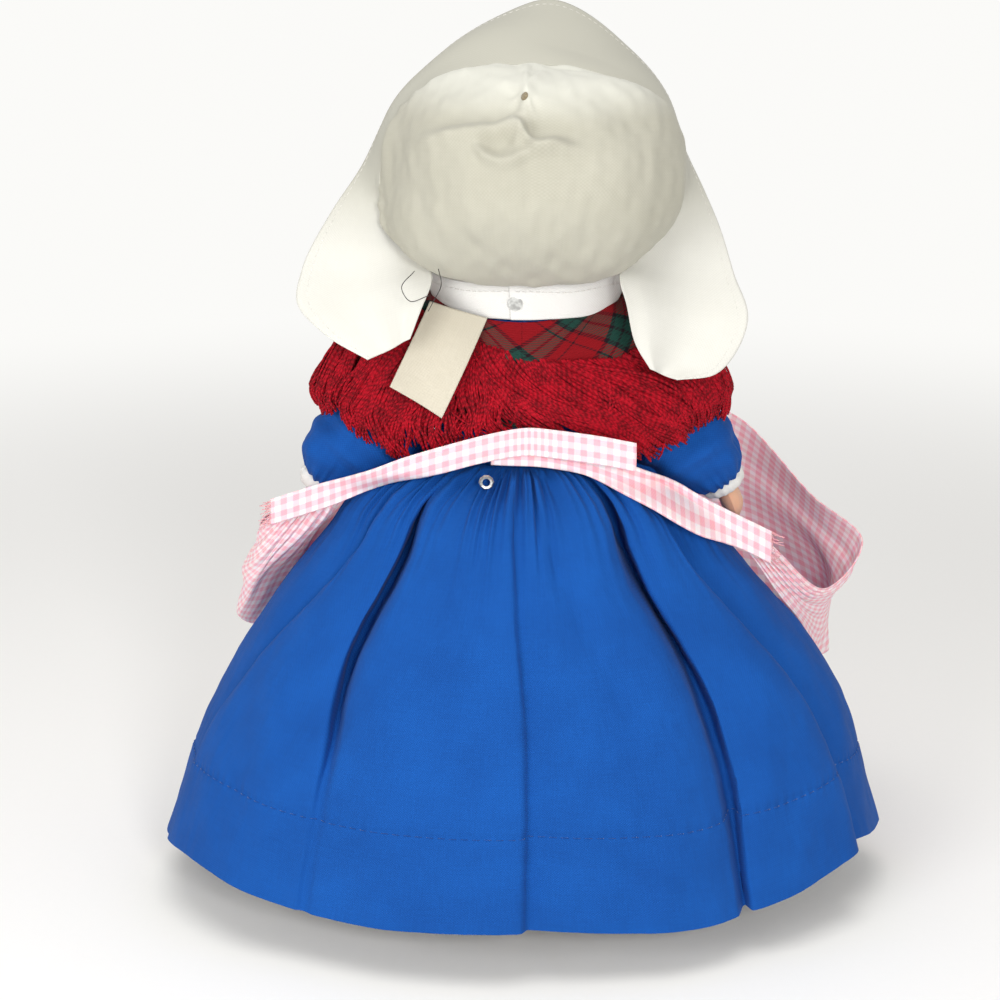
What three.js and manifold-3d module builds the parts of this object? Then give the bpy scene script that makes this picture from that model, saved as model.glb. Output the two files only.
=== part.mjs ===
// A strung plastic doll, about 200 mm tall, in a full blue cotton dress with a gingham apron,
// a fringed plaid shawl and a gathered organdy bonnet.
// Millimetres, +Z up. The doll faces -Y and stands on the floor at Z = 0 under its neck axis.

import * as THREE from "three";
import ManifoldModule from "manifold-3d";

const kernel = await ManifoldModule();
kernel.setup();

// Heights of the body, stacked from the floor upwards
const HIP_HEIGHT = 83;
const WAIST_RISE = 22;
const SHOULDER_RISE = 50;
const NECK_RISE = 7;
const CHIN_RISE = 7.5;
const HEAD_HEIGHT = 42;

// Torso half widths and half depths
const HIP_HALF_WIDTH = 19.5;
const HIP_HALF_DEPTH = 13.6;
const WAIST_HALF_WIDTH = 16.5;
const WAIST_HALF_DEPTH = 12.2;
const SHOULDER_HALF_WIDTH = 20;
const CHEST_HALF_DEPTH = 12.8;
const NECK_RIM_RADIUS = 10.6;
const PLASTIC_WALL = 1.8;

// Head
const HEAD_HALF_WIDTH = 20.5;
const HEAD_FRONT_DEPTH = 20;
const HEAD_BACK_DEPTH = 21;
const NECK_RADIUS = 9;
const NECK_STUB_LENGTH = 6;
const NECK_PLUG_HEIGHT = 4;
const EYE_SPACING = 17.2;
const EYE_RADIUS = 5.2;
const LID_THICKNESS = 0.5;
const HAIR_THICKNESS = 2.4;
const HAIR_GAP = 0.9;

// Limbs
const ARM_RADIUS = 5.6;
const ARM_BEND_RADIUS = 8;
const ARM_SLOPE_DEG = 62;
const ARM_DROP = 41.5;
const LEG_HALF_WIDTH = 7;
const HIP_JOINT_RADIUS = 11.5;
const HIP_WEB_HALF_WIDTH = 5;
const FOOT_LENGTH = 27;

// Clearances
const GAP = 0.35;
const JOINT_GAP = 0.4;
const CLOTH = 0.7;
const CLOTH_GAP = 0.5;

// Dress, apron and shawl
const HEM_HEIGHT = 10;
const HEM_HALF_WIDTH = 86;
const HEM_HALF_DEPTH = 61.9;
const PETTICOAT_DROP = 4.4;
const COLLAR_HEIGHT = 8.5;
const COLLAR_FLARE = 5;
const SLEEVE_EASE = 1.3;
const CUFF_LENGTH = 3;
const TIE_WIDTH = 6.5;
const SHAWL_DROP = 25.5;
const SHAWL_EASE = 0.9;
const FRINGE_THICKNESS = 1.6;
const LABEL_WIDTH = 13;
const LABEL_LENGTH = 23;

// Bonnet
const CROWN_HALF_WIDTH = 36;
const CROWN_DEPTH = 34;

// Shoes
const SOLE_THICKNESS = 2;
const SHOE_WALL = 1.1;
const SHOE_HEIGHT = 11;

// Stringing
const ELASTIC_RADIUS = 0.9;
const KNOT_RADIUS = 2.2;

// Levels that follow from the sizes above
const waistZ = HIP_HEIGHT + WAIST_RISE;
const shoulderZ = HIP_HEIGHT + SHOULDER_RISE;
const neckZ = shoulderZ + NECK_RISE;
const chinZ = neckZ + CHIN_RISE;
const eyeZ = chinZ + HEAD_HEIGHT * 0.42;
const crotchZ = HIP_HEIGHT - HIP_JOINT_RADIUS - GAP;
const armStartX = SHOULDER_HALF_WIDTH + JOINT_GAP;
const bodiceHalfWidth = SHOULDER_HALF_WIDTH + GAP + CLOTH;
const sleeveStartX = bodiceHalfWidth + CLOTH_GAP;
const sleeveRadius = ARM_RADIUS + SLEEVE_EASE + CLOTH;
const shawlSplitX = sleeveStartX;
const legX = HIP_WEB_HALF_WIDTH + JOINT_GAP + LEG_HALF_WIDTH;
const footBaseZ = SOLE_THICKNESS + GAP * 2;

const DOLL_SKIN = { color: 0xe9b894, roughness: 0.45, metalness: 0 };
const BLUE_COTTON = { color: 0x6d8fc4, roughness: 0.9, metalness: 0 };
const GINGHAM = { color: 0xe6a9ae, roughness: 0.9, metalness: 0 };
const PLAID_WOOL = { color: 0x7e1d22, roughness: 0.95, metalness: 0 };
const RED_YARN = { color: 0xa5171d, roughness: 0.95, metalness: 0 };
const ORGANDY = { color: 0xf2efe6, roughness: 0.85, metalness: 0 };
const WHITE_COTTON = { color: 0xf4f1ea, roughness: 0.9, metalness: 0 };
const HAIR = { color: 0x8a5a2c, roughness: 0.6, metalness: 0 };
const WHITE_PLASTIC = { color: 0xf5f3ee, roughness: 0.2, metalness: 0 };
const LASH = { color: 0x2a1c14, roughness: 0.7, metalness: 0 };
const BLACK_VINYL = { color: 0x17171a, roughness: 0.35, metalness: 0 };
const STEEL = { color: 0xb9bcc0, roughness: 0.35, metalness: 1 };
const LEAD = { color: 0x6c6f73, roughness: 0.6, metalness: 1 };
const RUBBER_CORD = { color: 0xd9cdb5, roughness: 0.9, metalness: 0 };

const TAU = Math.PI * 2;
const radians = THREE.MathUtils.degToRad;
const lerp = THREE.MathUtils.lerp;
const smoothstep = THREE.MathUtils.smoothstep;
const vec = (x, y, z) => new THREE.Vector3(x, y, z);

/** Smooth curve through rising [x, y] knots that never swings past them. */
function smoothCurve(knots) {
  const last = knots.length - 1;
  const step = (i) => knots[i + 1][0] - knots[i][0];
  const slope = (i) => (knots[i + 1][1] - knots[i][1]) / step(i);
  const tangents = knots.map((_, i) => {
    if (i === 0) return slope(0);
    if (i === last) return slope(last - 1);
    if (slope(i - 1) * slope(i) <= 0) return 0;
    const before = 2 * step(i) + step(i - 1);
    const after = step(i) + 2 * step(i - 1);
    return (before + after) / (before / slope(i - 1) + after / slope(i));
  });
  return (x) => {
    const held = THREE.MathUtils.clamp(x, knots[0][0], knots[last][0]);
    let i = 0;
    while (i < last - 1 && held > knots[i + 1][0]) i += 1;
    const h = step(i);
    const t = (held - knots[i][0]) / h;
    const a = knots[i][1] * (1 + 2 * t) * (1 - t) ** 2 + tangents[i] * h * t * (1 - t) ** 2;
    const b = knots[i + 1][1] * t * t * (3 - 2 * t) + tangents[i + 1] * h * t * t * (t - 1);
    return a + b;
  };
}

/** Closed geometry from points and triangles, turned so that its faces look out. */
function closedGeometry(points, faces) {
  const volume = faces.reduce((sum, [a, b, c]) => {
    const normal = points[b].clone().cross(points[c]);
    return sum + points[a].dot(normal);
  }, 0);
  const turned = volume < 0 ? faces.map(([a, b, c]) => [a, c, b]) : faces;
  const geometry = new THREE.BufferGeometry();
  const positions = points.flatMap((p) => [p.x, p.y, p.z]);
  geometry.setAttribute("position", new THREE.Float32BufferAttribute(positions, 3));
  geometry.setIndex(turned.flat());
  return geometry;
}

/** Triangles between neighbouring loops of equal length; `wrap` joins the last loop to the first. */
function bands(rows, columns, wrap = false) {
  const faces = [];
  const count = wrap ? rows : rows - 1;
  for (let i = 0; i < count; i += 1) {
    const next = (i + 1) % rows;
    for (let k = 0; k < columns; k += 1) {
      const a = i * columns + k;
      const b = i * columns + ((k + 1) % columns);
      const c = next * columns + k;
      const d = next * columns + ((k + 1) % columns);
      faces.push([a, b, d], [a, d, c]);
    }
  }
  return faces;
}

/** Solid through a row of loops, closed at both ends. */
function loft(loops) {
  const count = loops[0].length;
  const middle = (loop) => loop.reduce((sum, p) => sum.add(p), vec(0, 0, 0)).divideScalar(count);
  const points = loops.flat();
  const faces = bands(loops.length, count);
  const base = count * (loops.length - 1);
  const first = points.push(middle(loops[0])) - 1;
  const last = points.push(middle(loops[loops.length - 1])) - 1;
  for (let k = 0; k < count; k += 1) {
    const next = (k + 1) % count;
    faces.push([first, next, k], [last, base + k, base + next]);
  }
  return closedGeometry(points, faces);
}

/** Grid of points at(u, v) with u and v running from 0 to 1; a closed grid leaves out v = 1. */
function pointGrid(rows, columns, at, closed) {
  const across = closed ? columns : columns - 1;
  return Array.from({ length: rows }, (_, i) =>
    Array.from({ length: columns }, (__, k) => at(i / (rows - 1), k / across)),
  );
}

/** Copy of a grid moved along its own normals. */
function offsetGrid(grid, distance, closed) {
  const rows = grid.length;
  const columns = grid[0].length;
  const pick = (k) => (closed ? (k + columns) % columns : THREE.MathUtils.clamp(k, 0, columns - 1));
  return grid.map((row, i) =>
    row.map((point, k) => {
      const along = grid[Math.min(i + 1, rows - 1)][k].clone().sub(grid[Math.max(i - 1, 0)][k]);
      const across = row[pick(k + 1)].clone().sub(row[pick(k - 1)]);
      const normal = along.cross(across).normalize();
      return point.clone().addScaledVector(normal, distance);
    }),
  );
}

/** True if a closed grid's normals point away from the middle of its loops. */
function facesOut(grid) {
  const probe = offsetGrid(grid, 1, true);
  let sum = 0;
  grid.forEach((row, i) => {
    const middle = row.reduce((total, p) => total.add(p), vec(0, 0, 0)).divideScalar(row.length);
    row.forEach((point, k) => {
      sum += probe[i][k].clone().sub(point).dot(point.clone().sub(middle));
    });
  });
  return sum > 0;
}

/** Open-ended cloth tube whose outside is at(u, v), v once round. */
function clothTube(rows, columns, at, thickness = CLOTH) {
  const outer = pointGrid(rows, columns, at, true);
  const inner = offsetGrid(outer, facesOut(outer) ? -thickness : thickness, true);
  const loops = [...outer, ...inner.reverse()];
  return closedGeometry(loops.flat(), bands(loops.length, columns, true));
}

/** Cloth bag whose outside is at(u, v), closed at u = 0 and open at u = 1. */
function clothBag(rows, columns, at, thickness = CLOTH) {
  const outer = pointGrid(rows, columns, at, true);
  const inner = offsetGrid(outer, facesOut(outer) ? -thickness : thickness, true);
  return loft([...outer, ...inner.reverse()]);
}

/** Cloth sheet with one side at(u, v) and its thickness on the other. */
function clothSheet(rows, columns, at, thickness = CLOTH) {
  const front = pointGrid(rows, columns, at, false);
  const back = offsetGrid(front, -thickness, false);
  const loops = front.map((row, i) => [...row, ...back[i].slice().reverse()]);
  const length = columns * 2;
  const faces = bands(rows, length);
  const base = length * (rows - 1);
  for (let k = 0; k < columns - 1; k += 1) {
    const a = k;
    const b = k + 1;
    const c = length - 2 - k;
    const d = length - 1 - k;
    faces.push([b, a, d], [b, d, c]);
    faces.push([base + a, base + b, base + d], [base + b, base + c, base + d]);
  }
  return closedGeometry(loops.flat(), faces);
}

function toSolid(geometry) {
  const source = geometry.index ? geometry : geometry.clone();
  const mesh = new kernel.Mesh({
    numProp: 3,
    vertProperties: new Float32Array(source.attributes.position.array),
    triVerts: new Uint32Array(source.index.array),
  });
  mesh.merge();
  return new kernel.Manifold(mesh);
}

function toGeometry(solid) {
  const mesh = solid.getMesh();
  const geometry = new THREE.BufferGeometry();
  geometry.setAttribute("position", new THREE.BufferAttribute(mesh.vertProperties, 3));
  geometry.setIndex(new THREE.BufferAttribute(mesh.triVerts, 1));
  return geometry;
}

const join = (...geometries) => toGeometry(kernel.Manifold.union(geometries.map(toSolid)));
const carve = (base, ...cutters) =>
  toGeometry(kernel.Manifold.difference([base, ...cutters].map(toSolid)));
const keep = (base, region) => toGeometry(kernel.Manifold.intersection([base, region].map(toSolid)));

function box(low, high) {
  const size = high.clone().sub(low);
  const middle = low.clone().add(high).multiplyScalar(0.5);
  return new THREE.BoxGeometry(size.x, size.y, size.z).translate(middle.x, middle.y, middle.z);
}

function sphere(centre, radius, segments = 12) {
  const ball = new THREE.SphereGeometry(radius, segments, segments * 0.75);
  return ball.translate(centre.x, centre.y, centre.z);
}

/** Round bar between two points. */
function bar(from, to, radius, segments = 10) {
  const direction = to.clone().sub(from);
  const geometry = new THREE.CylinderGeometry(radius, radius, direction.length(), segments);
  const turn = new THREE.Quaternion().setFromUnitVectors(vec(0, 1, 0), direction.clone().normalize());
  const middle = from.clone().add(to).multiplyScalar(0.5);
  return geometry.applyQuaternion(turn).translate(middle.x, middle.y, middle.z);
}

/** Round-ended bar between two points. */
function capsule(from, to, radius) {
  const direction = to.clone().sub(from);
  const geometry = new THREE.CapsuleGeometry(radius, direction.length(), 3, 8);
  const turn = new THREE.Quaternion().setFromUnitVectors(vec(0, 1, 0), direction.clone().normalize());
  const middle = from.clone().add(to).multiplyScalar(0.5);
  return geometry.applyQuaternion(turn).translate(middle.x, middle.y, middle.z);
}

/** Ring of round section about an axis. */
function hoop(centre, axis, radius, section) {
  const geometry = new THREE.TorusGeometry(radius, section, 5, 10);
  const turn = new THREE.Quaternion().setFromUnitVectors(vec(0, 0, 1), axis);
  return geometry.applyQuaternion(turn).translate(centre.x, centre.y, centre.z);
}

/** Level loop of points with separate front and back depths. */
function levelLoop(count, z, halfWidth, frontDepth, backDepth = frontDepth) {
  return Array.from({ length: count }, (_, k) => {
    const angle = (k / count) * TAU;
    const depth = Math.cos(angle) > 0 ? backDepth : frontDepth;
    return vec(halfWidth * Math.sin(angle), depth * Math.cos(angle), z);
  });
}

const group = new THREE.Group();
group.name = "strung_doll";

function addPart(name, geometry, finish) {
  const mesh = new THREE.Mesh(geometry, new THREE.MeshStandardMaterial(finish));
  mesh.name = name;
  group.add(mesh);
}

// Torso

const torsoLevels = [
  [crotchZ, 0.42 * HIP_HALF_WIDTH, 0.4 * HIP_HALF_DEPTH],
  [HIP_HEIGHT - 8, 0.78 * HIP_HALF_WIDTH, 0.74 * HIP_HALF_DEPTH],
  [HIP_HEIGHT, 0.97 * HIP_HALF_WIDTH, 0.96 * HIP_HALF_DEPTH],
  [HIP_HEIGHT + 6, HIP_HALF_WIDTH, HIP_HALF_DEPTH],
  [waistZ, WAIST_HALF_WIDTH, WAIST_HALF_DEPTH],
  [lerp(waistZ, shoulderZ, 0.5), 0.93 * SHOULDER_HALF_WIDTH, CHEST_HALF_DEPTH],
  [shoulderZ - 5, SHOULDER_HALF_WIDTH, 0.97 * CHEST_HALF_DEPTH],
  [lerp(shoulderZ, neckZ, 0.29), SHOULDER_HALF_WIDTH, 0.92 * CHEST_HALF_DEPTH],
  [lerp(shoulderZ, neckZ, 0.72), 0.79 * SHOULDER_HALF_WIDTH, 0.88 * CHEST_HALF_DEPTH],
  [neckZ, NECK_RIM_RADIUS, NECK_RIM_RADIUS],
];
const torsoWidth = smoothCurve(torsoLevels.map(([z, width]) => [z, width]));
const torsoDepth = smoothCurve(torsoLevels.map(([z, , depth]) => [z, depth]));

const bodyColumns = 18;

/** Torso from crotch to neck rim, drawn in by an inset; the inset body runs out through the rim. */
function torsoBody(inset) {
  const loops = torsoLevels.map(([z, width, depth], i) => {
    return levelLoop(bodyColumns, i === 0 ? z + inset : z, width - inset, depth - inset);
  });
  const rim = NECK_RIM_RADIUS - inset;
  if (inset > 0) loops.push(levelLoop(bodyColumns, neckZ + 5, rim, rim));
  return loft(loops);
}

/** Space that one leg turns in, on the side given by +1 or -1. */
function hipSocket(side, grow) {
  const inner = side * (HIP_WEB_HALF_WIDTH - grow);
  const outer = side * HIP_HALF_WIDTH * 2;
  const radius = HIP_JOINT_RADIUS + JOINT_GAP + grow;
  const drum = bar(vec(inner, 0, HIP_HEIGHT), vec(outer, 0, HIP_HEIGHT), radius, 18);
  const low = vec(Math.min(inner, outer), -2 * HIP_HALF_DEPTH, 0);
  const high = vec(Math.max(inner, outer), 2 * HIP_HALF_DEPTH, HIP_HEIGHT + grow);
  return join(drum, box(low, high));
}

function buildTorso() {
  const hollow = carve(torsoBody(PLASTIC_WALL), hipSocket(1, PLASTIC_WALL), hipSocket(-1, PLASTIC_WALL));
  const reach = SHOULDER_HALF_WIDTH * 2;
  const armBore = bar(vec(-reach, 0, shoulderZ), vec(reach, 0, shoulderZ), KNOT_RADIUS);
  const hipBore = bar(vec(-reach, 0, HIP_HEIGHT), vec(reach, 0, HIP_HEIGHT), KNOT_RADIUS);
  const shell = carve(torsoBody(0), hollow, hipSocket(1, 0), hipSocket(-1, 0), armBore, hipBore);
  const far = HEM_HALF_WIDTH;
  const front = box(vec(-far, -far, 0), vec(far, -GAP / 2, neckZ * 2));
  const back = box(vec(-far, GAP / 2, 0), vec(far, far, neckZ * 2));
  addPart("torso_front_shell", keep(shell, front), DOLL_SKIN);
  addPart("torso_back_shell", keep(shell, back), DOLL_SKIN);
}

// Stringing

const neckPostEndZ = shoulderZ - KNOT_RADIUS - ELASTIC_RADIUS - 6;
const neckRingZ = neckPostEndZ + KNOT_RADIUS + ELASTIC_RADIUS;
const postRadius = ELASTIC_RADIUS;
const eyeletRadius = postRadius + ELASTIC_RADIUS + GAP;

/** Elastic between two limbs with a crimp at each end, bowed back in the middle to pass another cord. */
function crossElastic(z, halfLength, bow) {
  const crimps = [-1, 1].map((side) => {
    const from = vec(side * (halfLength - KNOT_RADIUS * 0.7), 0, z);
    return bar(from, vec(side * (halfLength + KNOT_RADIUS * 0.7), 0, z), KNOT_RADIUS * 0.9, 8);
  });
  const inner = halfLength * 0.62;
  const ends = [-1, 1].map((side) => {
    return bar(vec(side * halfLength, 0, z), vec(side * inner, 0, z), ELASTIC_RADIUS, 6);
  });
  const loops = [-1, -0.4, 0.4, 1].map((share) => {
    const away = Math.abs(share) < 1 ? bow : 0;
    const loop = levelLoop(6, 0, ELASTIC_RADIUS * 1.04, ELASTIC_RADIUS * 1.04);
    return loop.map((p) => vec(share * inner * 1.02, p.x + away, z + p.y));
  });
  return join(...crimps, ...ends, loft(loops));
}

/** Room inside a limb for the crimp on the end of its elastic. */
function crimpPocket(side, x, z) {
  const reach = KNOT_RADIUS * 0.7 + GAP;
  return bar(vec(side * (x - reach), 0, z), vec(side * (x + reach), 0, z), KNOT_RADIUS + GAP, 10);
}

function buildStringing() {
  const armKnotX = armStartX + KNOT_RADIUS + 2.6;
  addPart("arm_elastic", crossElastic(shoulderZ, armKnotX, CHEST_HALF_DEPTH * 0.56), RUBBER_CORD);
  addPart("hip_elastic", crossElastic(HIP_HEIGHT, legX, 0), RUBBER_CORD);
  const strandY = eyeletRadius + 1.2;
  const strands = [-1, 1].flatMap((side) => {
    const top = vec(0, side * strandY, neckRingZ);
    const foot = vec(0, side * strandY, HIP_HEIGHT);
    const topLink = bar(vec(0, side * eyeletRadius, neckRingZ), top, ELASTIC_RADIUS, 6);
    const footLink = bar(vec(0, side * eyeletRadius, HIP_HEIGHT), foot, ELASTIC_RADIUS, 6);
    return [topLink, footLink, bar(top, foot, ELASTIC_RADIUS, 6)];
  });
  const topEye = hoop(vec(0, 0, neckRingZ), vec(0, 0, 1), eyeletRadius, ELASTIC_RADIUS);
  const footEye = hoop(vec(0, 0, HIP_HEIGHT), vec(1, 0, 0), eyeletRadius, ELASTIC_RADIUS);
  addPart("neck_elastic", join(topEye, footEye, ...strands), RUBBER_CORD);
}

// Head

const headShape = [
  [0, 0.34, 0.6, 0.3],
  [0.05, 0.52, 0.8, 0.44],
  [0.12, 0.7, 0.89, 0.58],
  [0.22, 0.86, 0.94, 0.75],
  [0.35, 0.96, 0.96, 0.91],
  [0.5, 1, 0.97, 0.99],
  [0.62, 0.99, 0.97, 1],
  [0.75, 0.91, 0.92, 0.94],
  [0.87, 0.7, 0.73, 0.74],
  [0.95, 0.45, 0.47, 0.48],
  [1, 0.12, 0.12, 0.12],
];
const headWidth = smoothCurve(headShape.map(([f, w]) => [f, w]));
const headFront = smoothCurve(headShape.map(([f, , d]) => [f, d]));
const headBack = smoothCurve(headShape.map(([f, , , d]) => [f, d]));

/** Raised features of the face: how far the surface stands out at a point across and up it. */
function faceRelief(x, share) {
  const hill = (cx, cf, wide, high, out) =>
    out * Math.exp(-(((x - cx) / wide) ** 2) - ((share - cf) / high) ** 2);
  const nose = hill(0, 0.31, 2.4, 0.055, 2.2);
  const lips = hill(0, 0.17, 4.2, 0.035, 1);
  const chin = hill(0, 0.05, 4.5, 0.05, 1.1);
  const cheeks = hill(-9, 0.22, 5, 0.09, 1) + hill(9, 0.22, 5, 0.09, 1);
  return nose + lips + chin + cheeks;
}

/** Head surface grown by a distance; relief adds the face and its finer steps. */
function headBody(grow, relief) {
  const fine = [0, 0.05, 0.1, 0.16, 0.22, 0.28, 0.34, 0.42, 0.55, 0.68, 0.82, 0.93, 1];
  const plain = [0, 0.08, 0.22, 0.38, 0.55, 0.72, 0.87, 0.96, 1];
  const shares = relief ? fine : plain;
  const columns = relief ? 20 : 14;
  const loops = shares.map((share) => {
    const z = chinZ + HEAD_HEIGHT * share + grow * (share * 2 - 1);
    const width = HEAD_HALF_WIDTH * headWidth(share) + grow;
    const front = HEAD_FRONT_DEPTH * headFront(share) + grow;
    const back = HEAD_BACK_DEPTH * headBack(share) + grow;
    return levelLoop(columns, z, width, front, back).map((p) => {
      if (relief && p.y < 0) p.y -= faceRelief(p.x, share) * Math.min(1, -p.y / front);
      return p;
    });
  });
  return loft(loops);
}

const eyeX = EYE_SPACING / 2;
const lidRadius = EYE_RADIUS + GAP + LID_THICKNESS;
const seatRadius = lidRadius + JOINT_GAP;
const eyeFrontY = -HEAD_FRONT_DEPTH * 0.97 * Math.sqrt(1 - (eyeX / HEAD_HALF_WIDTH) ** 2);
const eyeY = eyeFrontY + lidRadius - 0.3;
const splitY = 2;
const neckLedge = 1.8;
const neckBore = NECK_RADIUS - PLASTIC_WALL * 1.6;
const stubRadius = NECK_RIM_RADIUS - PLASTIC_WALL - JOINT_GAP;

function buildHead() {
  const low = neckZ - NECK_STUB_LENGTH;
  const neckTop = chinZ + HEAD_HEIGHT * 0.2;
  const neck = bar(vec(0, 0, neckZ + GAP), vec(0, 0, neckTop), NECK_RADIUS, 18);
  const stub = bar(vec(0, 0, low), vec(0, 0, neckTop), stubRadius, 18);
  const bore = bar(vec(0, 0, low + neckLedge), vec(0, 0, neckTop), neckBore, 16);
  const hole = bar(vec(0, 0, low - 1), vec(0, 0, neckTop), KNOT_RADIUS + GAP, 16);
  const openings = [-1, 1].flatMap((side) => {
    const middle = vec(side * eyeX, eyeY, eyeZ);
    const almond = bar(middle, vec(side * eyeX, -3 * HEAD_FRONT_DEPTH, eyeZ), 1, 12);
    almond.translate(-middle.x, 0, -middle.z).rotateY(0.2);
    almond.scale(4.4, 1, 3.6).translate(middle.x, 0, middle.z);
    return [sphere(middle, seatRadius, 12), almond];
  });
  const shell = carve(join(headBody(0, true), neck, stub), headBody(-PLASTIC_WALL, false), bore, hole,
    ...openings);
  const far = HEM_HALF_WIDTH;
  const front = box(vec(-far, -far, 0), vec(far, splitY - GAP / 2, far * 4));
  const back = box(vec(-far, splitY + GAP / 2, 0), vec(far, far, far * 4));
  addPart("head_front_shell", keep(shell, front), DOLL_SKIN);
  addPart("head_back_shell", keep(shell, back), DOLL_SKIN);

  const plugLow = low + neckLedge + GAP;
  const plug = bar(vec(0, 0, plugLow), vec(0, 0, plugLow + NECK_PLUG_HEIGHT), neckBore - GAP, 20);
  const postSlot = bar(vec(0, 0, low), vec(0, 0, plugLow + NECK_PLUG_HEIGHT + 1), postRadius + GAP, 12);
  addPart("neck_plug", carve(plug, postSlot), WHITE_PLASTIC);
  const headZ = plugLow + NECK_PLUG_HEIGHT + GAP;
  const post = bar(vec(0, 0, neckPostEndZ), vec(0, 0, headZ + 0.5), postRadius, 12);
  const washer = bar(vec(0, 0, headZ), vec(0, 0, headZ + 1), neckBore - 1, 16);
  addPart("neck_post", join(post, washer, sphere(vec(0, 0, neckPostEndZ), KNOT_RADIUS, 8)), STEEL);
}

function buildHair() {
  const cap = carve(headBody(HAIR_THICKNESS + HAIR_GAP, false), headBody(HAIR_GAP, false));
  const far = HEM_HALF_WIDTH;
  const hairline = chinZ + HEAD_HEIGHT * 0.72;
  const face = box(vec(-far, -far, 0), vec(far, -HEAD_FRONT_DEPTH * 0.28, hairline));
  const nape = box(vec(-far, -far, 0), vec(far, far, chinZ + HEAD_HEIGHT * 0.2));
  addPart("wig", carve(cap, face, nape), HAIR);
}

/** Point on a sphere about an eye's middle: pitch up from the front, yaw to the side. */
function eyePoint(side, radius, pitch, yaw) {
  const flat = radius * Math.cos(yaw);
  const x = side * eyeX + radius * Math.sin(yaw);
  return vec(x, eyeY - flat * Math.cos(pitch), eyeZ + flat * Math.sin(pitch));
}

function buildEyes() {
  const lidEdge = radians(22);
  for (const [label, side] of [["left", 1], ["right", -1]]) {
    addPart(`${label}_eyeball`, sphere(vec(side * eyeX, eyeY, eyeZ), EYE_RADIUS, 12), WHITE_PLASTIC);
    const lid = clothSheet(8, 6, (u, v) => {
      const pitch = lerp(lidEdge, radians(150), u);
      return eyePoint(side, lidRadius, pitch, lerp(radians(62), radians(-62), v));
    }, LID_THICKNESS);
    addPart(`${label}_eyelid`, lid, DOLL_SKIN);
    const lash = clothSheet(2, 6, (u, v) => {
      const yaw = lerp(radians(-16), radians(16), v);
      return eyePoint(side, lerp(lidRadius + GAP, lidRadius + 1.5, u), lidEdge, yaw);
    }, 0.4);
    addPart(`${label}_lash`, lash, LASH);
  }
  const reach = eyeX - EYE_RADIUS - GAP;
  const stemEnd = vec(0, eyeY + 2.5, eyeZ - 6);
  const axle = bar(vec(-reach, eyeY, eyeZ), vec(reach, eyeY, eyeZ), 0.9, 10);
  const stem = bar(vec(0, eyeY, eyeZ), stemEnd, 0.9, 10);
  addPart("eye_rocker", join(axle, stem), STEEL);
  const low = stemEnd.clone().add(vec(-3, -1.5, -5 - GAP));
  const high = stemEnd.clone().add(vec(3, 3, -0.9 - GAP));
  addPart("eye_weight", box(low, high), LEAD);
}

// Bonnet

const crownRise = HEAD_HEIGHT * 0.571;
const crownFall = HEAD_HEIGHT * 0.488;
const crownSag = HEAD_HEIGHT * 0.13;
const crownMiddle = vec(0, HEAD_BACK_DEPTH * 0.19, chinZ + HEAD_HEIGHT * 0.56);

/** Point of the gathered crown: `back` runs from the rear pole to the rim, `turn` round it from the top. */
function crownPoint(back, turn) {
  const top = Math.cos(turn);
  const share = smoothstep(top, -1, 1);
  const rim = lerp(radians(70), radians(99), share ** 0.45);
  const angle = back * rim;
  const boxy = (value) => Math.sign(value) * Math.abs(value) ** 0.86;
  const reach = Math.sin(angle) ** 0.9;
  const height = top > 0 ? crownRise : crownFall;
  const x = CROWN_HALF_WIDTH * reach * boxy(Math.sin(turn));
  const low = Math.exp(-((Math.acos(-top) / 1.1) ** 2));
  const bag = smoothstep(back, 0.45, 0.8) * (1 - 0.6 * smoothstep(back, 0.85, 1));
  const z = height * reach * boxy(top) - crownSag * low * bag;
  return vec(crownMiddle.x + x, crownMiddle.y + CROWN_DEPTH * Math.cos(angle), crownMiddle.z + z);
}

function smoothPath(points) {
  return new THREE.CatmullRomCurve3(points, false, "centripetal");
}

/** Point in shares of the crown's half width, its depth and, above or below its middle, the head's height. */
function pin(x, y, z) {
  return vec(x * CROWN_HALF_WIDTH, y * CROWN_DEPTH, crownMiddle.z + z * HEAD_HEIGHT);
}

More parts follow.
